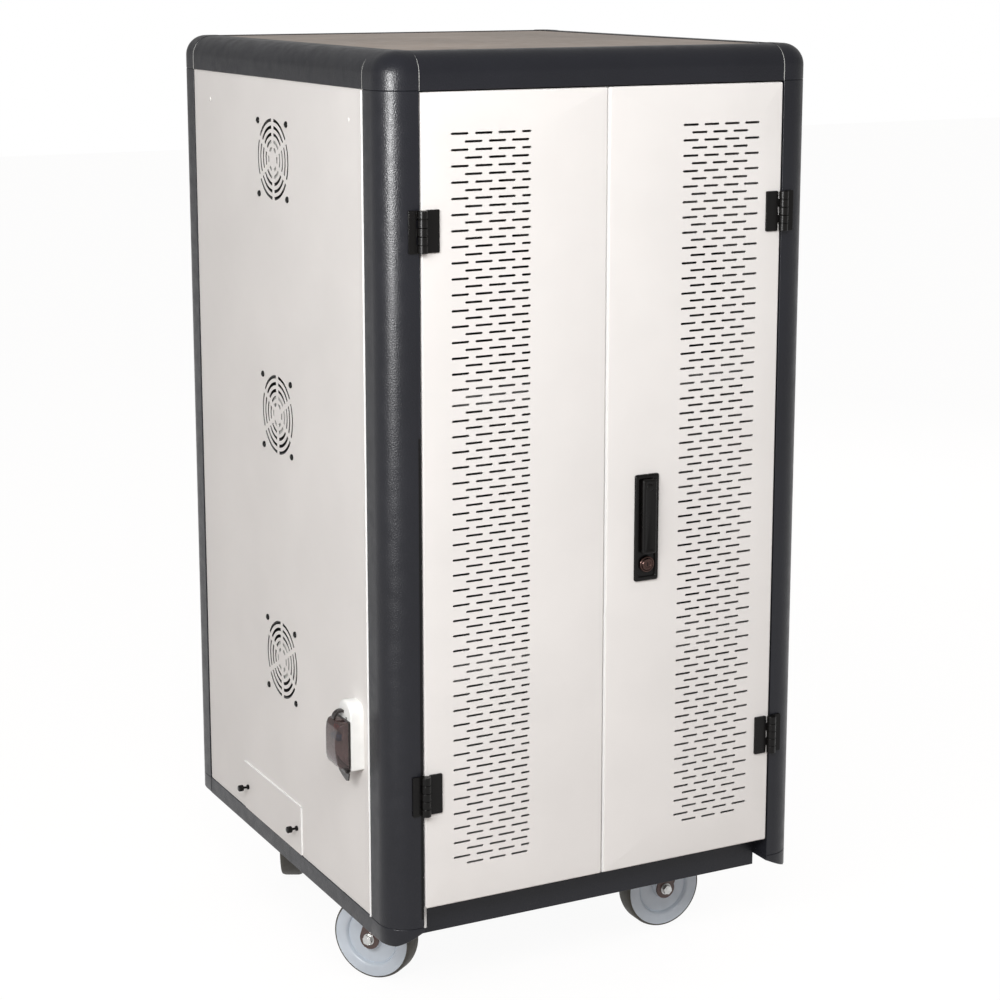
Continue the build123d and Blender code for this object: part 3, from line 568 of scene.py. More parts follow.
def rail_sides():
    """Each side's name, its place function of (inwards, up, along) and where its rails start and end."""
    across = (left + post_width, right - post_width)
    back = (front + post_deep_front, rear - post_deep_rear)
    return (
        ("front", lambda u, v, w: Vector((w, front + u, v)), *across),
        ("rear", lambda u, v, w: Vector((w, rear - u, v)), *across),
        ("left", lambda u, v, w: Vector((left + u, w, v)), *back),
        ("right", lambda u, v, w: Vector((right - u, w, v)), *back),
    )


class CART_OT_rails(bpy.types.Operator):
    """Adds the rolled top rails, pale bands of painted highlight at their ends where they meet the caps, and
    the folded bottom rails
    """

    bl_idname = "cart.rails"
    bl_label = "Rails"

    def execute(self, context):
        sizes = context.scene.cart_sizes
        for name, place, start, end in rail_sides():
            self.top_rail(sizes, name, place, start, end)
        for name, place, start, end in rail_sides():
            self.bottom_rail(sizes, name, place, start, end)
        low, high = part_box("bottom_front_rail")
        start, width, proud = left + post_width + 0.015, 0.005, 0.0008
        strip = rounded_rectangle(start, start + width, low.z + 0.008, high.z - 0.016, 0.001, 2)
        bm = bmesh.new()
        prism(bm, on_front, strip, low.y - front - proud, low.y - front)
        piece("rail_end_strip", bm, "cabinet", "edge_bead")
        return {"FINISHED"}

    def top_rail(self, sizes, name, place, start, end):
        """One top rail and the pale bands of painted highlight where the corner caps meet it."""
        crosswise = name in ("front", "rear")
        inset = 0.046 if crosswise else 0.050
        seam, lip, back = sizes.seam, 0.012, 0.020
        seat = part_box("top_panel")[0].z
        reach = top_radius - seam
        outer = arc(top_radius, roof - seam - reach, reach, 180, 90)
        inner = arc(top_radius, roof - seam - reach, reach - wall, 90, 180)
        section = [
            (seam, post_top), *outer, (inset, roof - seam), (inset, seat), (inset + lip, seat),
            (inset + lip, seat - wall), (inset - wall, seat - wall), (inset - wall, roof - seam - wall),
            *inner, (seam + wall, post_top + wall), (back, post_top + wall), (back, post_top),
        ]
        bm = bmesh.new()
        prism(bm, place, section, start, end)
        node = f"top_{name}_rail" if crosswise else "top_side_rails"
        piece(f"top_rail_{name}", bm, "cabinet", "frame_coat", (node,), sizes.edge * 0.6)

        # Thin pale bands at both ends of the rail, wider on the sides: painted highlight along the seams
        # with the corner caps.
        skin, base = 0.0003, 0.0016
        outer = arc(top_radius, roof - top_radius - skin, top_radius - skin, 180, 90)
        inner = arc(top_radius, roof - top_radius - skin, top_radius - base, 90, 180)
        band = [
            (skin, post_top), *outer, (inset, outer[-1][1]), (inset, inner[0][1]), *inner, (base, post_top),
        ]
        line = sizes.seam_highlight_width if crosswise else 2 * sizes.seam_highlight_width
        bm = bmesh.new()
        prism(bm, place, band, start, start + line)
        prism(bm, place, band, end - line, end)
        piece(f"cap_seam_highlights_{name}", bm, "cabinet", "hub_disc", sharp=40)

    def bottom_rail(self, sizes, name, place, start, end):
        """One bottom rail with the flange that carries the base tray."""
        low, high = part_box("bottom_front_rail")
        tray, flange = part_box("base_tray")[0].z, 0.023
        top = {"front": high.z, "left": sizes.foot}.get(name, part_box("bottom_rear_rail")[1].z)
        back = low.y - front if name == "front" else sizes.seam
        section = [
            (back, cap_bottom), (back, top), (back + wall, top), (back + wall, tray), (back + flange, tray),
            (back + flange, tray - wall), (back + wall, tray - wall), (back + wall, cap_bottom),
        ]
        bm = bmesh.new()
        prism(bm, place, section, start, end)
        node = f"bottom_{name}_rail" if name in ("front", "rear") else "bottom_side_rails"
        piece(f"bottom_rail_{name}", bm, "cabinet", "frame_coat", (node,), sizes.edge * 0.6)


# Doors

def vent_slots(sizes, odd_columns, even_columns):
    """Outlines of one field of slots; columns give each slot's ends, in mm from the cabinet's middle."""
    made = []
    for row in range(sizes.slot_rows):
        z = sizes.slot_top - row * sizes.slot_row
        for x0, x1 in (even_columns if row % 2 else odd_columns):
            made.append(stadium(middle + x0 * MM, middle + x1 * MM, z, sizes.slot_height))
    return made


def door_skin(side, sizes, openings):
    """A folded door: slotted face, bent sides and a return lip all round the back."""
    low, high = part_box(f"{side}_door")
    deep, fold, corner, sheet = high.y - low.y, 0.012, 0.002, 0.0015
    bend = sizes.door_bend
    tuck = bend - sheet

    def outline(inset):
        return rounded_rectangle(low.x + inset, high.x - inset, low.z + inset, high.z - inset, corner, 3)

    bm = bmesh.new()
    near, far = holed_sheet(bm, on_front, outline(bend), openings, 0, sheet)
    path = [(bend - bend * sin(radians(a)), bend - bend * cos(radians(a))) for a in (15, 30, 45, 60, 75, 90)]
    path += [(bend - bend * cos(radians(a)), deep - bend + bend * sin(radians(a))) for a in (0, 30, 60, 90)]
    path += [(fold, deep), (fold, deep - sheet)]
    path += [(bend - tuck * cos(radians(a)), deep - bend + tuck * sin(radians(a))) for a in (90, 45, 0)]
    path += [(bend - tuck * cos(radians(a)), bend - tuck * sin(radians(a))) for a in (0, 45)]
    last = near
    for inset, depth in path:
        current = ring(bm, [on_front(x, z, depth) for x, z in outline(inset)])
        bridge(bm, last, current)
        last = current
    bridge(bm, last, far)
    piece(f"{side}_door_skin", bm, f"{side}_door", "panel_coat", (f"{side}_door",), sharp=40)


class CART_OT_doors(bpy.types.Operator):
    """Adds both folded doors with their full field of vent slots"""

    bl_idname = "cart.doors"
    bl_label = "Doors"

    def execute(self, context):
        sizes = context.scene.cart_sizes
        left_odd = ((-235, -209), (-200, -174), (-166, -140), (-131, -117))
        left_even = ((-215, -189), (-180, -154), (-146, -120))
        right_odd = ((117, 142), (150.5, 175), (183.5, 208), (216.5, 240.5))
        right_even = ((131, 156), (164.5, 189), (197.5, 222))
        door_skin("left", sizes, vent_slots(sizes, left_odd, left_even))
        bores = []
        for node, radius in (("lock_spindle", 0.0075), ("key_cylinder", 0.009)):
            spot = centre_of(node)
            bores.append(arc(spot.x, spot.z, radius, 0, 360 - 360 / 24, 23))
        door_skin("right", sizes, vent_slots(sizes, right_odd, right_even) + bores)

        # A strip behind the gap at the right door's left edge, whiter than the door paint: partly a filler
        # behind the gap, partly painted highlight of the bright door edge.
        low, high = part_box("right_door")
        width, lap, short = 0.0020, 0.0003, 0.001
        bead = rounded_rectangle(low.x - width, low.x + lap, low.z + short, high.z - short, lap, 2)
        bm = bmesh.new()
        prism(bm, on_front, bead, 0.0006, 0.016)
        piece("door_edge_bead", bm, "right_door", "edge_bead")
        return {"FINISHED"}


# Left side

def fan_places():
    """Each fan's middle on the left side and how far out its impeller reaches, from the highest down."""
    made = []
    for i in (1, 2, 3):
        _, cy, cz = joint(f"fan_{i}_spin")["pos_m"]
        made.append((cy, cz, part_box(f"fan_impeller_{i}")[0].x))
    return made


def grille_slots(sizes, cy, cz):
    """Outlines of the curved slots of one fan grille, six to a ring."""
    made = []
    for k in range(sizes.grille_rings):
        radius = sizes.grille_inner + k * sizes.grille_pitch
        gap = sizes.grille_spoke / 2 / radius * 180 / pi
        for s in range(6):
            start, end, steps = 30 + 60 * s + gap, 90 + 60 * s - gap, 4 + 2 * k
            made.append(arc(cy, cz, radius + sizes.grille_slot / 2, start, end, steps)
                        + arc(cy, cz, radius - sizes.grille_slot / 2, end, start, steps))
    return made


class CART_OT_left_side(bpy.types.Operator):
    """Adds the left side sheet with its fan grilles, the access panel and whiter beads along them that carry
    painted highlight on their edges
    """

    bl_idname = "cart.left_side"
    bl_label = "Left side"

    def execute(self, context):
        sizes = context.scene.cart_sizes
        foot = sizes.foot
        sheet_low, sheet_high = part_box("left_side_panel")
        holes = []
        for cy, cz, _ in fan_places():
            holes += grille_slots(sizes, cy, cz)
        bm = bmesh.new()
        outline = rounded_rectangle(sheet_low.y, sheet_high.y, foot, sheet_high.z, 0.001, 1)
        depth = sheet_low.x - left
        near, far = holed_sheet(bm, on_left, outline, holes, depth, depth + sizes.skin)
        bridge(bm, near, far)
        piece("left_side_skin", bm, "cabinet", "panel_coat", ("left_side_panel",))

        low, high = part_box("access_panel")
        out, back = low.x - left, high.x - left
        bm = bmesh.new()
        prism(bm, on_left, rounded_rectangle(low.y, high.y, foot, high.z, 0.002, 3), out, back)
        piece("access_cover", bm, "cabinet", "panel_coat", ("access_panel",), 0.0005)

        # Beads whiter than the panel paint along the access panel's top and front edges and the sheet's
        # front edge: painted highlight of the bright lines along these edges.
        rim = sizes.bead / 2
        bm = bmesh.new()
        for outline in (rectangle(low.y - rim, high.y, high.z - rim / 2, high.z + rim / 2),
                        rectangle(low.y - rim, low.y, foot + rim, high.z)):
            prism(bm, on_left, outline, out - rim / 2, back)
        bulge = []
        for a in range(0, 181, 20):
            bulge.append((rim - rim * cos(radians(a)), -sizes.bead * 1.4 * sin(radians(a))))
        seat = front + post_deep_front
        prism(bm, lambda u, w, z: Vector((sheet_low.x + w, seat + u, z)), bulge, foot, sheet_high.z - rim)
        piece("panel_edge_highlight_beads", bm, "cabinet", "edge_bead", sharp=60)
        return {"FINISHED"}


# Small fasteners

def screw_head(bm, place, radius, height, recess):
    """A domed screw head with a round recess in its top."""
    dome = [(radius, 0), (radius, height * 0.35)]
    dome += [(radius * cos(radians(a)), height * (0.35 + 0.65 * sin(radians(a)))) for a in (20, 40, 60, 75)]
    dome += [(radius * recess, height * 0.98), (radius * recess * 0.8, height * 0.45), (0, height * 0.4)]
    lathe(bm, place, dome, 20)


def thumbscrew(bm, place, reach):
    """A long thumbscrew: flange, shank and knurled knob."""
    shank = reach - 0.0078
    lathe(bm, place, [(0, 0), (0.0036, 0), (0.0040, 0.0010), (0.0036, 0.0028), (0.0017, 0.0034),
                      (0.0017, shank), (0, shank)], 24)
    teeth, valley, crest = 24, 0.0046, 0.0049
    knurl = []
    for i in range(teeth):
        for part, radius in ((0.0, valley), (0.35, crest), (0.65, crest), (1.0, valley)):
            around = 2 * pi * (i + part * 0.9) / teeth
            knurl.append((radius * cos(around), radius * sin(around)))
    sections = []
    for depth, share in ((reach - 0.0080, 0.80), (reach - 0.0072, 1), (reach - 0.0012, 1), (reach, 0.78)):
        sections.append(([(u * share, v * share) for u, v in knurl], depth))
    loft(bm, place, sections)


class CART_OT_small_fasteners(bpy.types.Operator):
    """Adds the fan screws, rivets and knurled thumbscrews"""

    bl_idname = "cart.small_fasteners"
    bl_label = "Small fasteners"

    def execute(self, context):
        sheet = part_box("left_side_panel")[0].x
        screw_square = 0.105
        span = screw_square / 2
        bm = bmesh.new()
        for cy, cz, _ in fan_places():
            for y in (cy - span, cy + span):
                for z in (cz - span, cz + span):
                    screw_head(bm, lambda u, v, w: Vector((sheet - w, y + u, z + v)), 0.0046, 0.0028, 0.4)
        piece("fan_screw_heads", bm, "cabinet", "black_coat", ("fan_screws",), sharp=50)

        low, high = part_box("panel_rivets")
        right_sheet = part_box("right_side_panel")[1].x
        radius, height = 0.0035, high.x - right_sheet
        head = [(radius, 0), (0.0034, height * 0.4), (0.0028, height * 0.8), (0.0015, height), (0, height)]
        mid_z = (low.z + high.z) / 2
        bm = bmesh.new()
        for x, step in ((sheet, -1), (right_sheet, 1)):
            for y in (low.y + radius, high.y - radius):
                lathe(bm, lambda u, v, w: Vector((x + step * w, y + u, mid_z + v)), head, 20)
        piece("rivet_heads", bm, "cabinet", "panel_coat", ("panel_rivets",), sharp=60)

        low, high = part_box("thumbscrews")
        mid_z, radius = (low.z + high.z) / 2, 0.005
        reach = context.scene.cart_sizes.screw_reach
        bm = bmesh.new()
        for y in (low.y + radius, high.y - radius):
            thumbscrew(bm, lambda u, v, w: Vector((high.x - w, y + u, mid_z + v)), reach)
        piece("thumbscrew_knobs", bm, "cabinet", "black_coat", ("thumbscrews",), sharp=50)
        return {"FINISHED"}


class CART_OT_fans(bpy.types.Operator):
    """Finishes the fans and adds the bare discs on their hubs"""

    bl_idname = "cart.fans"
    bl_label = "Fans"

    def execute(self, context):
        dress("black_moulding", "fan_frames", "fan_impeller_1", "fan_impeller_2", "fan_impeller_3")
        disc = [(0, 0), (0.0285, 0), (0.0288, 0.0003), (0.0285, 0.0006), (0.0262, 0.0008), (0, 0.0008)]
        for i, (cy, cz, out) in enumerate(fan_places(), 1):
            bm = bmesh.new()
            lathe(bm, lambda u, v, w: Vector((out - w, cy + u, cz + v)), disc)
            piece(f"fan_hub_disc_{i}", bm, f"fan_{i}", "hub_disc", sharp=40)
        return {"FINISHED"}


# Hinges

HINGE_HEIGHT = 0.056
HINGE_EDGE = 0.0004


def hinge_leaf(bm, x, y, step, mid, width, own):
    """One hinge leaf beside the pin at x, y with its share of the five knuckles."""
    radius, bore, count, gap, thick = 0.0065, 0.0030, 5, 0.0005, 0.003
    reach = radius + 0.0006
    low = mid - HINGE_HEIGHT / 2
    a, b = sorted((x + step * reach, x + step * (reach + width)))
    prism(bm, on_front, rounded_rectangle(a, b, low, low + HINGE_HEIGHT, 0.0015, 3), -thick, 0)
    pitch = HINGE_HEIGHT / count
    a, b = sorted((x, x + step * reach * 1.03))
    for i in own:
        z0 = low + i * pitch + gap / 2
        z1 = z0 + pitch - gap
        prism(bm, on_front, rectangle(a, b, z0, z1), -thick, -0.0001)
        barrel(bm, lambda u, v, w: Vector((x + u, y + v, w)), [
            (bore, z0), (radius - HINGE_EDGE, z0), (radius, z0 + HINGE_EDGE), (radius, z1 - HINGE_EDGE),
            (radius - HINGE_EDGE, z1), (bore, z1),
        ], 40)


class CART_OT_hinges(bpy.types.Operator):
    """Adds the hinge leaves, knuckles and pins"""

    bl_idname = "cart.hinges"
    bl_label = "Hinges"

    def execute(self, context):
        frame_leaf, door_leaf = 0.011, 0.019
        frame_bm = bmesh.new()
        for side, step in (("left", 1), ("right", -1)):
            x, y, _ = joint(f"{side}_door_hinge")["pos_m"]
            low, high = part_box(f"hinge_leaves_{side}_door")
            door_bm = bmesh.new()
            for mid in (low.z + HINGE_HEIGHT / 2, high.z - HINGE_HEIGHT / 2):
                hinge_leaf(frame_bm, x, y, -step, mid, frame_leaf, (0, 2, 4))
                hinge_leaf(door_bm, x, y, step, mid, door_leaf, (1, 3))
            piece(f"hinge_door_leaves_{side}", door_bm, f"{side}_door", "black_coat",
                  (f"hinge_leaves_{side}_door",), HINGE_EDGE, sharp=40)
        piece("hinge_frame_leaf_set", frame_bm, "cabinet", "black_coat",
              ("hinge_frame_leaves",), HINGE_EDGE, sharp=40)
        dress("black_coat", "hinge_pins")
        return {"FINISHED"}


# Lock

class CART_OT_lock(bpy.types.Operator):
    """Adds the lock's plate, swing handle, pivot and key cylinder"""

    bl_idname = "cart.lock"
    bl_label = "Lock"

    def execute(self, context):
        self.plate()
        self.grip()
        self.key()
        dress("zinc_plate", "lock_spindle", "lock_rod_upper", "lock_rod_lower", "lock_rod_guides")
        return {"FINISHED"}

    def plate(self):
        """The plate with its raised rim and the collar round the key cylinder."""
        low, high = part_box("lock_plate")
        thick = front - low.y
        outer = rounded_rectangle(low.x, high.x, low.z, high.z, 0.003)
        inner = rounded_rectangle(low.x + 0.0055, high.x - 0.0055, low.z + 0.006, high.z - 0.006, 0.002)
        bm = bmesh.new()
        loft(bm, lambda x, z, out: on_front(x, z, -out), [
            (outer, 0), (outer, thick - 0.0016), (drawn_in(outer, low, high, 0.0008), thick - 0.0004),
            (drawn_in(outer, low, high, 0.0020), thick), (drawn_in(inner, low, high, -0.0006), thick),
            (inner, thick - 0.0006), (inner, thick - 0.0028),
        ])
        piece("lock_body", bm, "right_door", "black_coat", ("lock_plate",), 0.0003,
              sharp=40)
        key = centre_of("key_cylinder")
        bm = bmesh.new()
        collar = [(0.0085, 0), (0.0115, 0), (0.0115, 0.0036), (0.0110, 0.0044), (0.0100, 0.0048),
                  (0.0090, 0.0045), (0.0085, 0.0036), (0.0085, 0)]
        lathe(bm, lambda u, v, w: on_front(key.x + u, key.z + v, -w - thick + 0.0029), collar)
        piece("lock_key_collar", bm, "right_door", "key_plating", sharp=60)

    def grip(self):
        """The swing handle with its dished face and the cap of its pivot."""
        low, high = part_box("lock_handle")
        back, face = high.y, low.y
        outline = rounded_rectangle(low.x, high.x, low.z, high.z, 0.003)
        bm = bmesh.new()
        loft(bm, facing, [(drawn_in(outline, low, high, inset), y) for inset, y in (
            (0.0004, back), (0, back - 0.0004), (0, face + 0.0022), (0.0005, face + 0.0008),
            (0.0018, face), (0.0042, face), (0.0052, face + 0.0007), (0.0058, face + 0.0010),
        )])
        piece("lock_grip", bm, "lock_handle", "black_coat", ("lock_handle",), sharp=50)
        pivot = centre_of("lock_spindle")
        bm = bmesh.new()
        cap = [(0, -0.002), (0.0056, -0.002), (0.0054, 0.0), (0.0044, 0.0008), (0.0026, 0.0012), (0, 0.0013)]
        lathe(bm, lambda u, v, w: facing(pivot.x + u, pivot.z + v, face + 0.0011 - w), cap, 32)
        piece("lock_pivot_cap", bm, "lock_handle", "black_coat", sharp=60)

    def key(self):
        """The key cylinder's face, and a black bar of painted shade for its slit."""
        key = centre_of("key_cylinder")
        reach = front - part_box("key_cylinder")[0].y
        rim, plug = 0.0083, 0.0030
        bm = bmesh.new()
        for profile in (
            [(0, -0.003), (rim, -0.003), (rim, reach - 0.0008), (rim - 0.0008, reach),
             (plug + 0.0022, reach), (plug + 0.0018, reach - 0.0006), (plug, reach - 0.0006)],
            [(0, reach - 0.0010), (plug + 0.0002, reach - 0.0010), (plug + 0.0002, reach - 0.0006),
             (0, reach - 0.0005)],
        ):
            lathe(bm, lambda u, v, w: on_front(key.x + u, key.z + v, -w), profile, 40)
        piece("key_barrel", bm, "key_cylinder", "key_plating", ("key_cylinder",), sharp=40)
        # A black bar on the plug's face: painted shade for the keyway slit.
        half, wide = 0.0030, 0.0006
        bm = bmesh.new()
        prism(bm, on_front, rectangle(key.x - wide, key.x + wide, key.z - half, key.z + half),
              -reach + 0.0004, -reach + 0.0016)
        piece("key_slit_shade", bm, "key_cylinder", "black_coat")


# Breaker enclosure

breaker_y0, breaker_y1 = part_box("breaker_base")[0].y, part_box("breaker_base")[1].y
breaker_mid = (breaker_y0 + breaker_y1) / 2
breaker_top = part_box("breaker_base")[1].z
breaker_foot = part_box("breaker_cover")[0].z + 0.0014
breaker_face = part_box("breaker_body")[1].x
cover_bottom, cover_top = 0.3665, 0.4325
cover_wall = 0.0013


def on_breaker(y, z, out):
    """A point of the breaker enclosure, out from its base's face."""
    return Vector((breaker_face - out, y, z))


def breaker_profile(out, z, y):
    """The same point for a piece that is drawn as seen from the front."""
    return on_breaker(y, z, out)


def breaker_box():
    """The white box with its arched top, and black discs of painted shade in the two small holes in it."""
    y0, y1, low_round, high_round = breaker_y0, breaker_y1, 0.003, 0.017

    def arched(inset, drop):
        low, high = breaker_foot + inset + low_round, breaker_top - drop - inset
        near, far, r = y0 + inset, y1 - inset, high_round - inset / 2
        return (
            arc(far - low_round, low, low_round, -90, 0, 3) + arc(far - r, high - r, r, 0, 90, 8)
            + arc(near + r, high - r, r, 90, 180, 8) + arc(near + low_round, low, low_round, 180, 270, 3)
        )

    deep = breaker_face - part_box("breaker_base")[1].x
    bm = bmesh.new()
    loft(bm, on_breaker, [(arched(inset, drop), out) for out, inset, drop in (
        (deep, 0, 0), (-0.0030, 0, 0), (-0.0014, 0.0003, 0.0006), (-0.0004, 0.0011, 0.0014),
        (0, 0.0022, 0.0022),
    )])
    piece("breaker_box", bm, "cabinet", "white_moulding", ("breaker_base",), 0.0004)
    # Black discs set in the two small holes: painted shade for the dark inside of the holes.
    bm = bmesh.new()
    for y, z, r in ((y0 + 0.014, breaker_top - 0.0225, 0.0018), (y1 - 0.010, breaker_top - 0.020, 0.0012)):
        plug = [(0, -0.001), (r, -0.001), (r, 0.0003), (0, 0.0004)]
        lathe(bm, lambda u, v, w: on_breaker(y + u, z + v, w), plug, 16)
    piece("breaker_box_hole_shades", bm, "cabinet", "black_moulding", sharp=60)


def breaker_unit():
    """The breaker itself, its red flag and its blue lever."""
    low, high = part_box("breaker_body")
    top = 0.4270
    bm = bmesh.new()
    loft(bm, on_breaker, [(rounded_rectangle(low.y, high.y, low.z + inset, top - inset, 0.001, 2), out)
                          for out, inset in ((0, 0.0), (0.0060, 0.0), (0.0064, 0.0010), (0.0090, 0.0140),
                                             (0.0098, 0.0150))])
    piece("breaker_unit", bm, "cabinet", "breaker_grey", ("breaker_body",), 0.0003)
    flag = rounded_rectangle(high.y - 0.0130, high.y - 0.0030, top - 0.0120, top - 0.0040, 0.001, 3)
    bm = bmesh.new()
    prism(bm, on_breaker, flag, 0.0040, 0.0092)
    piece("breaker_red_flag", bm, "cabinet", "red_moulding", (), 0.0003)
    pivot = Vector(joint("breaker_toggle_pivot")["pos_m"])
    low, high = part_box("breaker_toggle")
    lever = [(-0.0030, -0.0056), (0.0026, -0.0062), (0.0060, -0.0030), (0.0066, 0.0026), (0.0038, 0.0040),
             (-0.0030, 0.0036)]
    bm = bmesh.new()
    prism(bm, lambda u, v, w: Vector((pivot.x - u, w, pivot.z + v)), lever, low.y - 0.0060, high.y - 0.0030)
    piece("breaker_lever", bm, "breaker_toggle", "toggle_moulding", ("breaker_toggle",),
          0.0006, 3)


def breaker_cover():
    """The tinted shell of the cover, its dark rim and the hook over the top."""
    y0, y1, z0, z1 = breaker_y0, breaker_y1, cover_bottom, cover_top
    bulge = ((0.0004, 0, 0), (0.0125, 0.0004, 0.0006), (0.0160, 0.0012, 0.0024), (0.0184, 0.0022, 0.0070),
             (0.0200, 0.0034, 0.0140), (0.0208, 0.0048, 0.0220), (0.0210, 0.0070, 0.0290))
    bm = bmesh.new()

    def shell(thin):
        rings = []
        for out, inset_y, inset_z in bulge:
            outline = rounded_rectangle(y0 + inset_y + thin, y1 - inset_y - thin, z0 + inset_z + thin,
                                        z1 - inset_z - thin, 0.0012, 3)
            rings.append(ring(bm, [on_breaker(y, z, max(out - thin, 0.0004)) for y, z in outline]))
        for a, b in zip(rings, rings[1:]):
            bridge(bm, a, b)
        bm.faces.new(rings[-1])
        return rings[0]

    bridge(bm, shell(0), shell(cover_wall))
    piece("breaker_smoked_cover", bm, "breaker_cover", "smoked_plastic", ("breaker_cover",),
          sharp=50)
    bm = bmesh.new()
    outer = rounded_rectangle(y0 - 0.0004, y1 + 0.0004, z0 - 0.0006, z1 + 0.0006, 0.0018, 3)
    inner = rounded_rectangle(y0 + cover_wall, y1 - cover_wall, z0 + cover_wall, z1 - cover_wall, 0.0010, 3)
    near, far = holed_sheet(bm, on_breaker, outer, [inner], 0.0003, 0.0034)
    bridge(bm, near, far)
    hook_out, hook_radius, hook_inner = 0.0035, 0.0118, 0.0082
    hook = arc(hook_out, z1, hook_radius, 0, 118, 10) + arc(hook_out, z1, hook_inner, 118, 0, 10)
    prism(bm, breaker_profile, hook, breaker_mid + 0.0010, breaker_mid + 0.0100)
    piece("breaker_cover_rim", bm, "breaker_cover", "dark_moulding", (), 0.0004)


def breaker_hinge():
    """The cover's hinge: fixed knuckle, lug and tongue, and the two knuckles that turn with the cover."""
    y0, y1, mid, foot = breaker_y0, breaker_y1, breaker_mid, breaker_foot
    axis = Vector(joint("breaker_cover_hinge")["pos_m"])
    width, edge = 0.0095, 0.0005

    def knuckle(bm, start, stop, radius):
        barrel(bm, lambda u, v, w: Vector((axis.x + u, w, axis.z + v)), [
            (radius - edge, start), (radius, start + edge), (radius, stop - edge), (radius - edge, stop),
        ], 24)

    bm = bmesh.new()
    knuckle(bm, y0 + 0.0100, y1 - 0.0100, 0.0021)
    lug = [(0, foot - 0.0060), (0.0018, foot - 0.0055), (0.0050, axis.z - 0.0010), (0.0044, axis.z),
           (0, axis.z)]
    prism(bm, breaker_profile, lug, mid - 0.0090, mid + 0.0090)
    tongue = [(y0 + 0.0030, foot - 0.0030), (y0 + 0.0060, foot - 0.0140), (y0 + 0.0130, foot - 0.0160),
              (mid + 0.0060, foot - 0.0120), (y1 - 0.0040, foot - 0.0070), (y1 - 0.0020, foot - 0.0030)]
    prism(bm, on_breaker, tongue, 0.0, 0.0018)
    piece("breaker_hinge_lugs", bm, "cabinet", "dark_moulding", (), 0.0004)
    bm = bmesh.new()
    web = [(0.0040, axis.z + 0.0010), (0.0080, axis.z + 0.0010), (0.0130, cover_bottom + 0.0030),
           (0.0016, cover_bottom + 0.0002)]
    for start in (y0, y1 - width):
        knuckle(bm, start, start + width, 0.0042)
        prism(bm, breaker_profile, web, start + 0.0010, start + width - 0.0010)
    piece("breaker_cover_knuckle", bm, "breaker_cover", "dark_moulding", (), 0.0004)


class CART_OT_breaker(bpy.types.Operator):
    """Adds the breaker enclosure with its tinted cover"""

    bl_idname = "cart.breaker"
    bl_label = "Breaker"

    def execute(self, context):
        breaker_box()
        breaker_unit()
        breaker_cover()
        breaker_hinge()
        dress("zinc_plate", "breaker_cover_pin")
        return {"FINISHED"}


# Castors

WHEEL_RADIUS = 0.0625
WHEEL_HALF = 0.016
FORK_GAP = 0.0186
FORK_SHEET = 0.0035
TRAIL = 0.038


def castor_place(name):
    """Place function of a castor: along its trail, up and along its axle, from the axle's middle."""
    centre = Vector(joint(f"castor_roll_{name}")["pos_m"])
    pivot = Vector(joint(f"castor_swivel_{name}")["pos_m"])
    axle = Vector(joint(f"castor_roll_{name}")["axis"]).normalized()
    trail = Vector((centre.x - pivot.x, centre.y - pivot.y, 0)).normalized()
    return lambda u, v, w: centre + trail * u + Vector((0, 0, v)) + axle * w


def wheel(name, at):
    """A castor wheel: moulded disc with a ring groove on both faces, and its tread."""
    half, web, bore, hub = WHEEL_HALF, WHEEL_HALF - 0.0050, 0.0062, 0.018
    disc = [
        (bore, -hub), (0.0120, -hub), (0.0150, -hub + 0.0015), (0.0170, -web), (0.0386, -web),
        (0.0392, -web + 0.0010), (0.0400, -web + 0.0010), (0.0406, -web), (0.0418, -half + 0.0012),
        (0.0432, -half + 0.0002), (0.0470, -half), (0.0585, -half), (0.0590, -half + 0.0006),
    ]
    bm = bmesh.new()
    lathe(bm, at, there_and_back(disc), 96)
    piece(f"wheel_disc_{name}", bm, f"wheel_{name}", "wheel_disc", (f"castor_wheel_{name}",),
          sharp=50)
    tread = [(0.0586, -half + 0.0004), (0.0600, -half + 0.0002), (0.0612, -half + 0.0012),
             (WHEEL_RADIUS - 0.0004, -half + 0.0040), (WHEEL_RADIUS, -half + 0.0060)]
    bm = bmesh.new()
    lathe(bm, at, there_and_back(tread), 96)
    piece(f"wheel_tread_{name}", bm, f"wheel_{name}", "wheel_tread", sharp=50)


def fork(name, at, top):
    """A pressed castor fork: two legs that taper to the axle, a bridge between them and the round crown."""
    out = FORK_GAP + FORK_SHEET
    lean, half, eye, crown, shoulder = -0.030, 0.021, 0.0155, 0.034, 0.0062

    def flat(u, w, v):
        return at(u, v, w)

    leg = [*arc(0, 0, eye, -200, 20, 14), (lean + half, top - shoulder), (lean + half, top),
           (lean - half, top), (lean - half, top - shoulder)]
    bm = bmesh.new()
    for side in (-1, 1):
        prism(bm, at, leg, side * FORK_GAP, side * out)
    sheet = 0.006
    prism(bm, flat, [(u - TRAIL, v) for u, v in circle(crown)], top - sheet, top)
    prism(bm, flat, rectangle(lean - 0.017, lean + 0.017, -out, out), top - sheet + 0.0002, top - 0.0002)
    piece(f"fork_{name}_pressing", bm, f"fork_{name}", "fork_coat", (f"castor_fork_{name}",),
          0.0007)


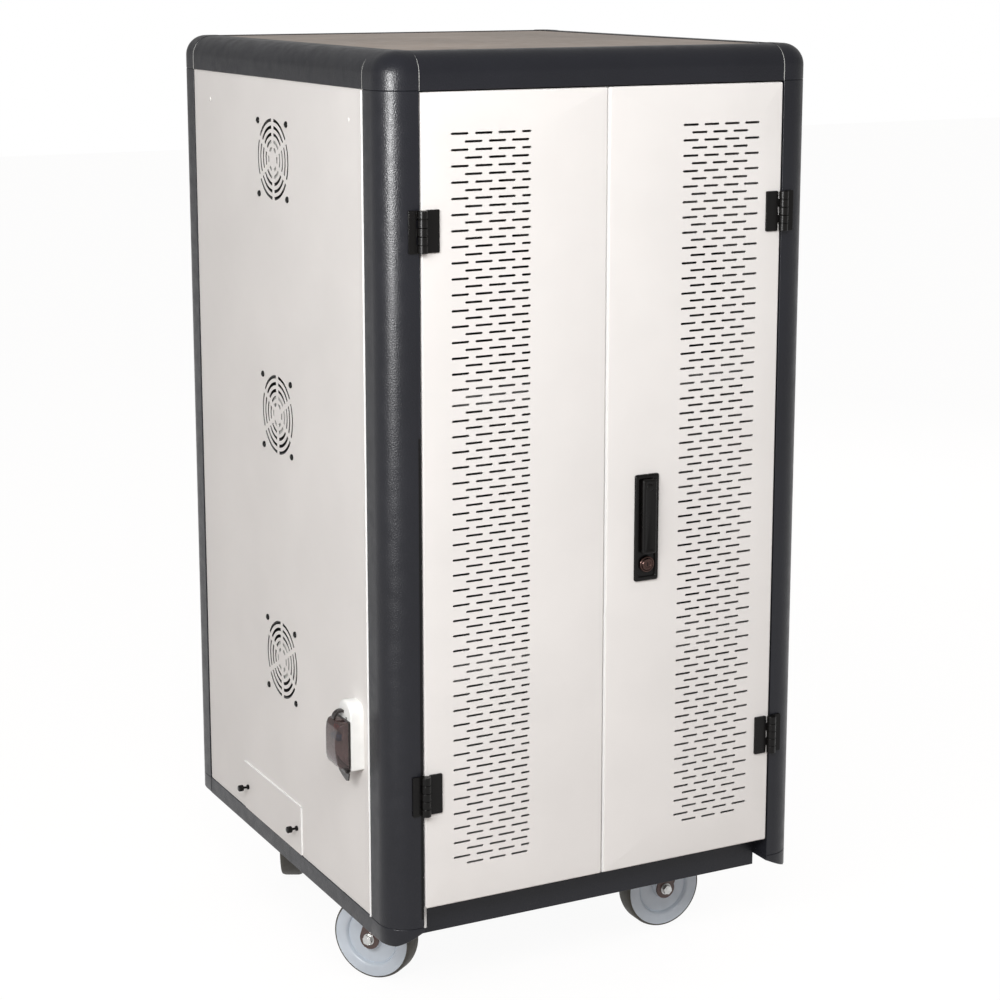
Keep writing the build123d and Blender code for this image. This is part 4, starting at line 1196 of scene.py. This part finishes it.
def axle_bolt(name, at):
    """The axle's bolt ends, each a washer, a hexagon and the thread's end."""
    out = FORK_GAP + FORK_SHEET
    washer = [(0, out - 0.0004), (0.0088, out - 0.0004), (0.0088, out + 0.0012), (0.0084, out + 0.0015),
              (0, out + 0.0015)]
    thread = [(0, out + 0.0060), (0.0040, out + 0.0060), (0.0040, out + 0.0070), (0, out + 0.0070)]
    hexagon = [(0.0074 * cos(radians(60 * i + 15)), 0.0074 * sin(radians(60 * i + 15))) for i in range(6)]
    bm = bmesh.new()
    for side in (-1, 1):

        def outside(u, v, w):
            return at(u, v, side * w)

        prism(bm, outside, hexagon, out + 0.0014, out + 0.0068)
        lathe(bm, outside, washer, 32)
        lathe(bm, outside, thread, 24)
    piece(f"axle_bolt_{name}", bm, f"fork_{name}", "zinc_plate", (), 0.0005)


class CART_OT_castors(bpy.types.Operator):
    """Adds the castor wheels, forks and axle bolts"""

    bl_idname = "cart.castors"
    bl_label = "Castors"

    def execute(self, context):
        for name, *_ in CORNERS:
            at = castor_place(name)
            wheel(name, at)
            fork(name, at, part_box(f"castor_fork_{name}")[1].z - at(0, 0, 0).z)
            axle_bolt(name, at)
        dress("zinc_plate", "castor_plates", "castor_bolts")
        return {"FINISHED"}


class CART_OT_plain_sheets(bpy.types.Operator):
    """Finishes the frame's own sheets, rack and shelves"""

    bl_idname = "cart.plain_sheets"
    bl_label = "Plain sheets"

    def execute(self, context):
        dress("panel_coat", "right_side_panel", "rear_panel")
        dress("top_coat", "top_panel")
        dress("frame_coat", "door_stop")
        dress("inner_coat", "base_tray", "rack_uprights", "device_shelves", "cable_walls")
        dress("black_moulding", "device_dividers")
        dress("white_moulding", "power_strips")
        return {"FINISHED"}


# Stage

def area_lamp(name, place, target, width, height, power):
    """A soft rectangular lamp aimed at a point."""
    data = bpy.data.lights.new(name, "AREA")
    data.shape = "RECTANGLE"
    data.size, data.size_y = width, height
    data.energy = power
    obj = bpy.data.objects.new(name, data)
    bpy.context.scene.collection.objects.link(obj)
    obj.location = place
    obj.rotation_mode = "QUATERNION"
    obj.rotation_quaternion = (Vector(target) - Vector(place)).to_track_quat("-Z", "Y")
    return obj


def larger(tree, a, b):
    """The larger of two sockets."""
    made = tree.nodes.new("ShaderNodeMath")
    made.operation = "MAXIMUM"
    tree.links.new(a, made.inputs[0])
    tree.links.new(b, made.inputs[1])
    return made.outputs[0]


def mixed(tree, share, first, second, output):
    """Sends a mix of two shaders to an output."""
    made = tree.nodes.new("ShaderNodeMixShader")
    tree.links.new(share, made.inputs[0])
    tree.links.new(first.outputs[0], made.inputs[1])
    tree.links.new(second.outputs[0], made.inputs[2])
    tree.links.new(made.outputs[0], tree.nodes[output].inputs["Surface"])


def floor_material():
    """Pale floor that looks white to the camera, mirrors and clear plastic and still keeps shadows."""
    tree, bsdf = shader("studio_floor")
    bsdf.inputs["Roughness"].default_value = 0.9
    bsdf.inputs["Specular IOR Level"].default_value = 0.1
    tint(tree, bsdf, noise(tree, 3, 2), (0.50, 0.46, 0.44), 0.99, 1.01)
    rays = tree.nodes.new("ShaderNodeLightPath").outputs
    bounced = larger(tree, rays["Is Glossy Ray"], rays["Is Transmission Ray"])
    seen = larger(tree, rays["Is Camera Ray"], bounced)
    share = tree.nodes.new("ShaderNodeMath")
    share.operation = "MULTIPLY"
    share.inputs[1].default_value = 0.84
    tree.links.new(seen, share.inputs[0])
    glow = tree.nodes.new("ShaderNodeEmission")
    glow.inputs["Strength"].default_value = 1.12
    mixed(tree, share.outputs[0], bsdf, glow, "Material Output")
    return bpy.data.materials["studio_floor"]


def studio_floor():
    """A wide plain floor."""
    bm = bmesh.new()
    bmesh.ops.create_grid(bm, x_segments=8, y_segments=8, size=14)
    mesh = bpy.data.meshes.new("studio_floor")
    bm.to_mesh(mesh)
    bm.free()
    floor = bpy.data.objects.new("studio_floor", mesh)
    bpy.context.scene.collection.objects.link(floor)
    floor.data.materials.append(floor_material())


def even_sky(strength):
    """Even light from all round, behind which the camera sees plain white."""
    world = bpy.data.worlds.new("Sky")
    bpy.context.scene.world = world
    world.use_nodes = True
    tree = world.node_tree
    sky = tree.nodes["Background"]
    sky.inputs["Color"].default_value = (1.0, 0.995, 0.985, 1)
    sky.inputs["Strength"].default_value = strength
    plain = tree.nodes.new("ShaderNodeBackground")
    plain.inputs["Color"].default_value = (1, 1, 1, 1)
    rays = tree.nodes.new("ShaderNodeLightPath")
    mixed(tree, rays.outputs["Is Camera Ray"], sky, plain, "World Output")


class CART_OT_stage(bpy.types.Operator):
    """Sets up the floor, lamps, even sky and the camera"""

    bl_idname = "cart.stage"
    bl_label = "Stage"

    def execute(self, context):
        scene = context.scene
        view = scene.cart_view
        studio_floor()
        even_sky(view.sky)
        for soft in (
            area_lamp("key", (-0.9, -2.3, 2.1), (0, front, 1.15), 1.0, 0.8, view.key_power),
            area_lamp("side", (-2.2, -1.9, 2.0), (left, -0.2, 1.2), 1.2, 1.2, view.side_power),
            area_lamp("fill", (2.6, 2.4, 2.1), (right, rear, 0.8), 1.4, 1.4, view.fill_power),
        ):
            soft.visible_glossy = False
        glint = area_lamp("glint", (-1.97, -1.47, 1.25), (left, front, 1.25), 0.36, 0.5, view.glint_power)
        glint.visible_diffuse = False

        data = bpy.data.cameras.new("camera")
        data.sensor_width = 36
        data.lens = view.lens
        data.shift_y = view.shift
        camera = bpy.data.objects.new("camera", data)
        scene.collection.objects.link(camera)
        camera.location = view.camera_place
        ahead = Vector((sin(view.yaw) * cos(view.pitch), cos(view.yaw) * cos(view.pitch), -sin(view.pitch)))
        camera.rotation_mode = "QUATERNION"
        camera.rotation_quaternion = ahead.to_track_quat("-Z", "Y")
        scene.camera = camera
        scene.view_settings.view_transform = "Standard"
        return {"FINISHED"}


OPERATORS = (
    CART_OT_posts, CART_OT_corner_caps, CART_OT_rails, CART_OT_doors, CART_OT_left_side,
    CART_OT_small_fasteners, CART_OT_fans, CART_OT_hinges, CART_OT_lock, CART_OT_breaker, CART_OT_castors,
    CART_OT_plain_sheets, CART_OT_stage,
)


class CART_PT_parts(bpy.types.Panel):
    """Lists the cart's pieces, colours and sizes"""

    bl_label = "Device cart"
    bl_space_type = "VIEW_3D"
    bl_region_type = "UI"
    bl_category = "Cart"

    def draw(self, context):
        for operator in OPERATORS:
            self.layout.operator(operator.bl_idname)
        for group in (context.scene.cart_finish, context.scene.cart_sizes, context.scene.cart_view):
            box = self.layout.box()
            for key in group.bl_rna.properties.keys():
                if key not in ("rna_type", "name"):
                    box.prop(group, key)


CLASSES = (CartFinish, CartSizes, CartView, *OPERATORS, CART_PT_parts)


def register():
    for cls in CLASSES:
        bpy.utils.register_class(cls)
    bpy.types.Scene.cart_finish = PointerProperty(type=CartFinish)
    bpy.types.Scene.cart_sizes = PointerProperty(type=CartSizes)
    bpy.types.Scene.cart_view = PointerProperty(type=CartView)


def unregister():
    for name in ("cart_finish", "cart_sizes", "cart_view"):
        delattr(bpy.types.Scene, name)
    for cls in reversed(CLASSES):
        bpy.utils.unregister_class(cls)


def main():
    register()
    for operator in OPERATORS:
        group, name = operator.bl_idname.split(".")
        getattr(getattr(bpy.ops, group), name)()


if __name__ == "__main__":
    main()
